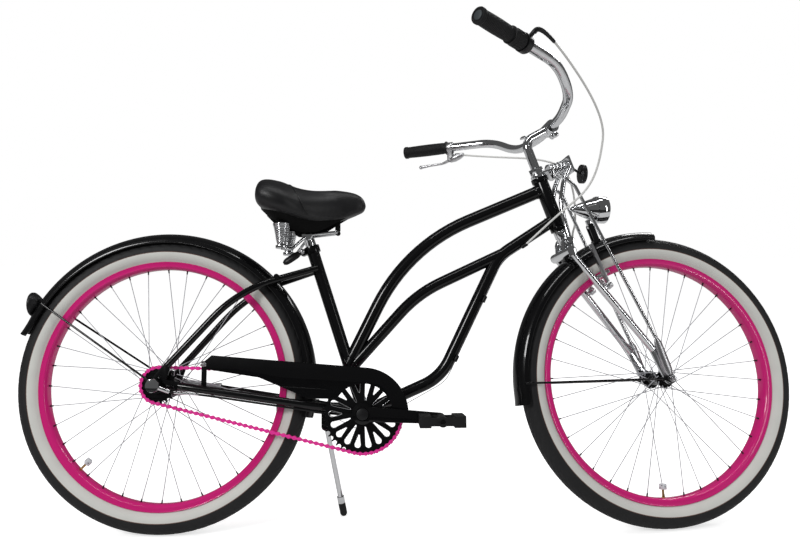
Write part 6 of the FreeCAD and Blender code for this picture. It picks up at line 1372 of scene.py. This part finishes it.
def swollen(thing, cap):
    """Cloth with air pressure, and no point moves further than the cap."""
    rest = [vertex.co.copy() for vertex in thing.data.vertices]
    cloth = thing.modifiers.new("air", "CLOTH")
    cloth.settings.use_pressure = True
    cloth.settings.uniform_pressure_force = AIR_PRESSURE
    cloth.settings.effector_weights.gravity = 0.0
    cloth.settings.tension_stiffness = COVER_STIFFNESS
    cloth.settings.compression_stiffness = COVER_STIFFNESS
    scene = bpy.context.scene
    for step in range(1, AIR_FRAMES + 1):
        scene.frame_set(step)
    after = thing.evaluated_get(bpy.context.evaluated_depsgraph_get()).to_mesh()
    moved = []
    for vertex, start in zip(after.vertices, rest):
        shift = vertex.co - start
        moved.append(start + shift * min(1.0, cap / max(shift.length, 1e-9)))
    thing.modifiers.remove(cloth)
    scene.frame_set(1)
    for vertex, place in zip(thing.data.vertices, moved):
        vertex.co = place
    thing.data.update()


cushion = piece(
    "saddle_pad", loft(STATIONS, COVER_SIDE, 3.0), BIKE, saddle_cover, None,
    ["saddle_cushion"]
)
applied(cushion, "SUBSURF", levels=2, render_levels=2)
applied(cushion, "REMESH", mode="VOXEL", voxel_size=VOXEL)
applied(cushion, "SMOOTH", factor=0.5, iterations=6)
swollen(cushion, SWELL)
applied(cushion, "SUBSURF", levels=1, render_levels=1)
cushion.data.materials.clear()
cushion.data.materials.append(saddle_cover)
cushion.data.shade_smooth()
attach(cushion, "saddle")
print("cushion points", len(cushion.data.vertices))

# %% [markdown]
# Saddle tray. Under the cushion a black tray carries the springs and, near its nose, the hinge of the
# saddle. Copying the cushion's underside would make the two meet face to face, so the tray is a second loft
# with narrower sections.

# %% Saddle tray
TRAY = [
    (226, 60, 404, 416), (240, 82, 390, 408), (258, 90, 377, 400), (280, 92, 369, 392), (302, 80, 353, 388),
    (328, 62, 349, 386), (352, 46, 351, 386), (378, 34, 362, 390), (402, 26, 376, 396), (424, 20, 388, 402),
    (444, 12, 398, 406),
]
TRAY_SIDE = ((0.52, 0.5), (0.0, 0.6), (0.25, 0.78), (0.6, 0.92), (1.0, 1.0))
NOSE_HINGE = Vector((402.1, 0, 354.0))
nose_lug = block((12, 14, 26), NOSE_HINGE + Vector((0, 0, 17)), 2.0)
nose_eye = spun([(3.2, -8), (6.0, -8), (6.0, 8), (3.2, 8)], NOSE_HINGE, (0, 1, 0), 32)
tray = joined(loft(TRAY, TRAY_SIDE), nose_lug, nose_eye)
piece("saddle_tray", tray, BIKE, matt_black, "saddle", ["saddle_base"])
print("tray sections", len(TRAY))

# %% [markdown]
# Seam. The cover is sewn from two pieces, and the seam runs over the crown. A line drawn beforehand would
# float or sink after the cloth simulation. So rays from outside find the finished surface, and a thin tube
# is laid on the points that they hit.

# %% Saddle seam
IN_SCENE = Matrix.Identity(4)
CUSHION_MIDDLE = 425
SEAM_RADIUS, SEAM_START, SEAM_SWEEP, SEAM_LOW, SEAM_STEPS = 200, -28, 236, 0.47, 48


def seam(x_top, x_low, bead):
    """A raised line of stitching over the crown, laid on the cover by rays towards the cushion's middle."""
    on_cover = []
    for index in range(SEAM_STEPS + 1):
        angle = math.radians(SEAM_START + SEAM_SWEEP * index / SEAM_STEPS)
        height = math.sin(angle)
        x = x_low + (x_top - x_low) * (height + SEAM_LOW) / (1 + SEAM_LOW)
        outside = BIKE @ Vector((x, -SEAM_RADIUS * math.cos(angle), CUSHION_MIDDLE + SEAM_RADIUS * height))
        inside = BIKE @ Vector((x, 0, CUSHION_MIDDLE))
        hit = cushion.ray_cast(outside, (inside - outside).normalized())
        if hit[0]:
            on_cover.append(hit[1] + hit[2] * bead * 0.2)
    return tube(on_cover, bead, 10)


piece("saddle_seam", seam(280, 335, 0.0011), IN_SCENE, saddle_cover, "saddle")
print("pieces so far", len(made))

# %% [markdown]
# Head lamp. It is a bullet of thin chromed sheet with a bezel and a faceted lens. Two shells could be
# fitted into each other. One outline that runs along the outside and back through the bowl is simpler, and
# the lamp is hollow behind its lens.

# %% Head lamp
HEAD_ANGLE = 70.85
LAMP_LENGTH = 88.0
lamp_ahead = unit(HEAD_ANGLE - 90)
lamp_tail = Vector((89, 0, 16)) - lamp_ahead * (LAMP_LENGTH / 2)
bullet = [(0, 0), (3, 0.3), (5, 1.6)]
for index in range(1, 15):
    share = index / 14
    bullet.append((5 + 24 * share ** 0.86, 1.6 + 57 * share))
bullet += [(29.4, 60), (31.6, 60.8), (32.4, 63), (32.4, 86.5), (31.4, 88), (28.6, 88), (28, 87), (28, 82)]
bowl = [(26 * math.cos(math.radians(a)), 82 - 30 * math.sin(math.radians(a))) for a in range(0, 91, 10)]
lamp_body = spun(bullet + bowl, lamp_tail, lamp_ahead, 72)
hinge = Vector((78, 0, -25))
lamp_eye = spun([(3.1, -4), (6.6, -4), (7, -3.6), (7, 3.6), (6.6, 4), (3.1, 4)], hinge, (0, 1, 0), 32)
lamp_lug = block((12, 7.6, 16), hinge + Vector((0, 0, 9.5)), 1.2)
piece(
    "lamp_bullet", joined(lamp_body, lamp_eye, lamp_lug), FORK, chrome, "lamp", ["headlamp_shell"]
)
glass = [(0, 82), (27.9, 82), (27.9, 84), (24, 85.6), (16, 86.8), (8, 87.3), (0, 87.5)]
piece(
    "lamp_glass", spun(glass, lamp_tail, lamp_ahead, 60), FORK, clear_lens, "lamp",
    ["headlamp_lens"]
)
print("head lamp made")

# %% [markdown]
# Tail light. A black cup with a red lens sits on the rear fender. Its back has to follow the crowned sheet,
# and a boolean would leave a rough edge there. So the points that would lie inside the fender are lifted
# onto its crown.

# %% Tail light
TAIL_ANGLE = 147.5
tail_seat = unit(TAIL_ANGLE) * FENDER_RADIUS + Vector((4, 0, 0))


def on_fender(shape):
    """Lifts the points that would lie inside the fender onto its crown."""
    lifted = []
    for point in shape[0]:
        crown = FENDER_RADIUS - CROWN_BOW + math.sqrt(CROWN_BOW ** 2 - point.y ** 2)
        across = math.hypot(point.x, point.z)
        grow = max(1.0, crown / across)
        lifted.append(Vector((point.x * grow, point.y, point.z * grow)))
    return lifted, shape[1]


cup = [
    (0, 3), (14, 3), (17.5, 5), (21, 9), (24.4, 13), (27.2, 17), (28, 18.5), (28, 23.2), (27.2, 24),
    (26, 24), (26, 17), (0, 17)
]
tail_cup = on_fender(spun(cup, tail_seat, (-1, 0, 0), 56))
piece("tail_cup", tail_cup, BIKE, plastic, "frame", ["tail_light_body"])
red = [(0, 17.2), (25.8, 17.2), (25.8, 22), (22, 23.2), (10, 23.9), (0, 24)]
tail_glass = on_fender(spun(red, tail_seat, (-1, 0, 0), 56))
piece("tail_glass", tail_glass, BIKE, red_lens, "frame", ["tail_light_lens"])
print("tail light made")

# %% [markdown]
# Gear cable. It leaves the shifter in a wide loop and reaches the first guide on the down tube. A stiff
# sleeve bends evenly, so a NURBS line that only follows its route suits it better than a line forced
# through every point. The cable rides on no body, while the horn at its start rides with the steering.

# %% Gear cable
CABLE_RADIUS = 2.4
HORN_LENGTH = 0.055


def cord_line(route, matrix):
    """Points read from a NURBS line whose control points are the route."""
    curve = bpy.data.curves.new("cord_line", "CURVE")
    curve.dimensions = "3D"
    curve.resolution_u = 10
    spline = curve.splines.new("NURBS")
    spline.points.add(len(route) - 1)
    for point, place in zip(spline.points, route):
        point.co = (*(matrix @ Vector(place)), 1.0)
    spline.order_u = 3
    spline.use_endpoint_u = True
    return curve_shape(curve)[0]


def line_length(line):
    return sum((b - a).length for a, b in zip(line, line[1:]))


def to_bike(point):
    return BIKE.inverted() @ (FORK @ Vector(point))


ENTRY = Vector((845.3, -13, 316.9))
gear_route = [
    to_bike(middle + cable_out * 32), to_bike(middle + cable_out * 54), (1010, -150, 587), (1008, -100, 494)
]
gear_route += [(985, -70, 435), (922, -45, 386), (870, -23, 339), ENTRY]
gear_line = cord_line(gear_route, BIKE)
gear_cable = piece(
    "gear_cable", tube(gear_line, CABLE_RADIUS * MM, 14), IN_SCENE, sleeve, None,
    ["shift_cable"]
)
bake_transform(gear_cable)
horn_line = gear_line[:1]
for point in gear_line[1:]:
    if line_length(horn_line + [point]) < HORN_LENGTH:
        horn_line.append(point)
horn = tube(horn_line, [(5.4 - 2.0 * i / len(horn_line)) * MM for i in range(len(horn_line))], 20)
piece("cable_horn", horn, IN_SCENE, plastic, "steering")
line_length(gear_line)
print("gear cable length", round(line_length(gear_line), 3))

# %% [markdown]
# Gear wire. From the first guide a bare wire goes on under the down tube, and a second sleeve runs along
# the chain stay to the rear hub. They could be grooves on the tubes, but in places light shows between, so
# they are thin tubes of their own, with guides and an adjuster.

# %% Gear wire
WIRE_RADIUS = 0.8
wire_route = [ENTRY, (819, -13, 300), (793.1, -13, 283.5), (779, -13, 255), (722, -13, 140), (686, -13, 68)]
wire_route += [
    (671.6, -13, 39), (652.5, -13, 0.5), (614.6, -13.8, -19.9), (550, -15, -55), (487.6, -16.3, -88.4)
]
wire_route += [(452.4, -17, -107.4), (421.9, -22.5, -91.1), (375, -31, -66), (348, -41.2, -61.7)]
wire_line = cord_line(wire_route, BIKE)
piece("gear_wire", tube(wire_line, WIRE_RADIUS * MM, 8), IN_SCENE, steel, "frame")
stay_route = [
    (375, -31, -66), (348, -41.2, -61.7), (320, -43.2, -57.2), (150, -55.3, -30), (109.6, -58.2, -23.5),
    (78, -68, -19), (40, -84.1, -14)
]
stay_line = cord_line(stay_route, BIKE)
piece("gear_sleeve", tube(stay_line, CABLE_RADIUS * MM, 12), IN_SCENE, plastic, "frame")
guide = [(1.2, -8), (3.6, -8), (4.2, -7), (4.2, 7), (3.6, 8), (1.2, 8)]
guides = []
for place, onward in (
    (ENTRY, (-52, 0, -33)), ((747, -13, 190.6), (-1, 0, -2)), ((678.5, -13, 53), (-1, 0, -2))
):
    guides.append(spun(guide, place, onward, 24))
piece("cable_guides", joined(*guides), BIKE, plastic, "frame")
barrel = [(2.5, 0), (3.4, 0), (3.4, 26), (2.9, 27), (2.9, 52), (2.5, 53)]
piece("gear_adjuster", spun(barrel, (46, -82, -15), (66, 24, -8), 24), BIKE, chrome, "frame")
print("cable guides", len(guides))

# %% [markdown]
# Brake cable. It runs from the lever to the front brake and is made like the gear cable, in the axes of the
# fork, where both of its ends are known. The fork rocks under the bar, but the cable rides on no body and
# stays where it is drawn.

# %% Brake cable
brake_route = [
    (-61.7, 297.6, 316.5), (-19.1, 266.6, 286.4), (95, 62, 170), (112, 62, 100), (80, 64, 0),
    (50, 54.1, -26.3), (38, 46.1, -66.3)
]
brake_line = cord_line(brake_route, FORK)
brake_cable = piece(
    "brake_cable_run", tube(brake_line, CABLE_RADIUS * MM, 14), IN_SCENE, sleeve, None,
    ["brake_cable"]
)
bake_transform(brake_cable)
line_length(brake_line)
print("brake cable length", round(line_length(brake_line), 3))

# %% [markdown]
# What is left of the CAD frame already has its true shape, but its round faces are made of flat facets.
# Smooth shading alone would blur the real edges too. A small group of geometry nodes smooths every face and
# then marks the steep edges hard again.

# %% Shading of the CAD pieces
HARD_EDGE = 32


def soft_edges():
    """Geometry nodes that shade smooth but keep hard edges hard."""
    group = bpy.data.node_groups.new("soft_edges", "GeometryNodeTree")
    group.interface.new_socket("Geometry", in_out="INPUT", socket_type="NodeSocketGeometry")
    group.interface.new_socket("Geometry", in_out="OUTPUT", socket_type="NodeSocketGeometry")
    start = group.nodes.new("NodeGroupInput")
    end = group.nodes.new("NodeGroupOutput")
    faces = group.nodes.new("GeometryNodeSetShadeSmooth")
    edges = group.nodes.new("GeometryNodeSetShadeSmooth")
    edges.domain = "EDGE"
    edges.inputs["Shade Smooth"].default_value = False
    angle = group.nodes.new("GeometryNodeInputMeshEdgeAngle")
    hard = group.nodes.new("FunctionNodeCompare")
    hard.operation = "GREATER_THAN"
    hard.inputs[1].default_value = math.radians(HARD_EDGE)
    group.links.new(start.outputs[0], faces.inputs["Geometry"])
    group.links.new(faces.outputs[0], edges.inputs["Geometry"])
    group.links.new(angle.outputs["Unsigned Angle"], hard.inputs[0])
    group.links.new(hard.outputs[0], edges.inputs["Selection"])
    group.links.new(edges.outputs[0], end.inputs[0])
    return group


SOFT = soft_edges()
print("soft edges ready")

# %% [markdown]
# Finishes on the CAD pieces. Each of these nodes gets its finish, and most get a small bevel, because no
# real edge is perfectly sharp and a bevel catches the light. They could be drawn again as finer meshes, but
# nothing more would be seen.

# %% Finishes on the CAD pieces
BEVEL_EDGE = 40
dressing = {
    "head_tube": (black_enamel, 0.6), "bottom_bracket": (black_enamel, 0.6),
    "chain_stays": (black_enamel, 0.5), "rear_fender_stays": (black_enamel, 0),
    "front_fender_stays": (black_enamel, 0), "seat_clamp": (black_enamel, 0.5), "seat_post": (chrome, 0.4),
    "rear_axle": (chrome, 0.6), "coaster_arm": (steel, 0.5), "rear_spokes": (spoke_wire, 0),
    "front_spokes": (spoke_wire, 0), "rear_hub": (black_enamel, 0.5), "front_hub": (black_enamel, 0.5),
    "crank_arms": (black_enamel, 1.2), "right_pedal": (rubber, 0.8), "left_pedal": (rubber, 0.8),
    "kickstand_leg": (chrome, 0.5), "kickstand_foot": (rubber, 0.8), "steerer": (chrome, 0.5),
    "headset_nut": (chrome, 0.6), "front_reflector": (plastic, 0.8), "lever_bracket": (alloy, 0.6),
    "fork_blades": (chrome, 0.6), "spring_yoke": (chrome, 0.6), "truss_rods": (chrome, 0.4),
    "right_brake_arm": (alloy, 0.6), "left_brake_arm": (alloy, 0.6), "front_axle": (steel, 0.5),
}
for name, (finish, edge) in dressing.items():
    thing = nodes[name]
    thing.data.materials.clear()
    thing.data.materials.append(finish)
    weld_points = thing.modifiers.new("weld", "WELD")
    weld_points.merge_threshold = 0.00001
    if edge:
        round_edges = thing.modifiers.new("edge", "BEVEL")
        round_edges.width = edge * MM
        round_edges.segments = 2
        round_edges.limit_method = "ANGLE"
        round_edges.angle_limit = math.radians(BEVEL_EDGE)
        round_edges.use_clamp_overlap = True
    shading = thing.modifiers.new("shading", "NODES")
    shading.node_group = SOFT
bare = sorted(name for name in nodes if name not in dressing and not nodes[name].hide_render)
print("CAD nodes with no finish yet", bare)

# %% [markdown]
# Studio floor. The photograph has bare white ground. More light would whiten the floor and bleach the
# bicycle with it, so the floor glows a little by itself and still takes the shadow. Polished metal needs
# something dark to reflect, as in a studio: a dark card in front, and a grey one under the bicycle and
# behind it, are seen only in reflections.

# %% Floor and cards
def studio_plane(name, size, matrix, colour, glow):
    mesh = bpy.data.meshes.new(name)
    half_x, half_y = size[0] / 2, size[1] / 2
    corners = [(-half_x, -half_y, 0), (half_x, -half_y, 0), (half_x, half_y, 0), (-half_x, half_y, 0)]
    mesh.from_pydata(corners, [], [(0, 1, 2, 3)])
    thing = bpy.data.objects.new(name, mesh)
    thing.matrix_world = matrix
    bpy.context.scene.collection.objects.link(thing)
    paint = Finish(name, {"Base Color": colour, "Roughness": 0.9, "Specular IOR Level": 0.0,
                          "Emission Color": colour, "Emission Strength": glow})
    mesh.materials.append(paint.material)
    return thing


floor = studio_plane("floor", (40, 40), Matrix.Translation((0, 0, cad_low.z)), rgb(0.9, 0.9, 0.9), 0.7)
floor.visible_diffuse = False
UNSEEN = (
    "visible_camera", "visible_diffuse", "visible_shadow", "visible_transmission", "visible_volume_scatter"
)
for name, middle_y, tone in (("dark_card", -11.4, 0.02), ("grey_card", 8.6, 0.42)):
    card_place = Matrix.Translation((0, middle_y, cad_low.z + 0.002))
    card = studio_plane(name, (40.0, 20.0), card_place, rgb(tone, tone, tone), 0.5)
    for view in UNSEEN:
        setattr(card, view, False)
print("floor and cards ready")

# %% [markdown]
# Backdrop. The camera sees a white world, mirrors see a dark room, and all else gets a soft fill. One plain
# white world would bleach the chrome and the enamel, so Light Path tells the three kinds of ray apart.

# %% World
DARK_ROOM = 0.09
SOFT_FILL = 0.42
world = bpy.data.worlds.new("studio")
world.use_nodes = True
room = NodeTree(world.node_tree)
backdrop = room.tree.nodes["Background"]
backdrop.inputs["Color"].default_value = rgb(1.0, 1.0, 1.0)
seen = room.add("ShaderNodeLightPath", {}, {}, "Is Camera Ray")
mirrored = room.add("ShaderNodeLightPath", {}, {}, "Is Glossy Ray")
strength = seen * (1 - SOFT_FILL) + mirrored * (DARK_ROOM - SOFT_FILL) + SOFT_FILL
room.tree.links.new(strength.socket, backdrop.inputs["Strength"])
bpy.context.scene.world = world
print("light in reflections", DARK_ROOM, "and in shadows", SOFT_FILL)

# %% [markdown]
# Lamps. Four soft rectangles light the bicycle: a key at the front, one overhead, a narrow one at the side
# and one from behind. One large lamp would light the colours as well, but long narrow ones draw the thin
# highlights that make black tubes look round.

# %% Lamps
def soft_lamp(name, place, target, size, power):
    data = bpy.data.lights.new(name, "AREA")
    data.shape = "RECTANGLE"
    data.size, data.size_y = size
    data.energy = power
    thing = bpy.data.objects.new(name, data)
    thing.location = place
    thing.rotation_mode = "QUATERNION"
    thing.rotation_quaternion = (Vector(target) - Vector(place)).to_track_quat("-Z", "Y")
    bpy.context.scene.collection.objects.link(thing)


soft_lamp("key_light", (-2.2, -2.4, 2.2), (0, 0, 0.5), (0.8, 0.8), 44)
soft_lamp("top_light", (0.2, -0.4, 3.2), (0, 0, 0.4), (3.0, 0.2), 22)
soft_lamp("side_light", (2.6, -1.8, 1.2), (0.3, 0, 0.6), (0.15, 1.8), 10)
soft_lamp("rim_light", (1.8, 2.0, 2.4), (0, 0, 0.5), (1.4, 0.3), 16)
bpy.context.scene.view_settings.view_transform = "Standard"
print("lamps", len(bpy.data.lights))
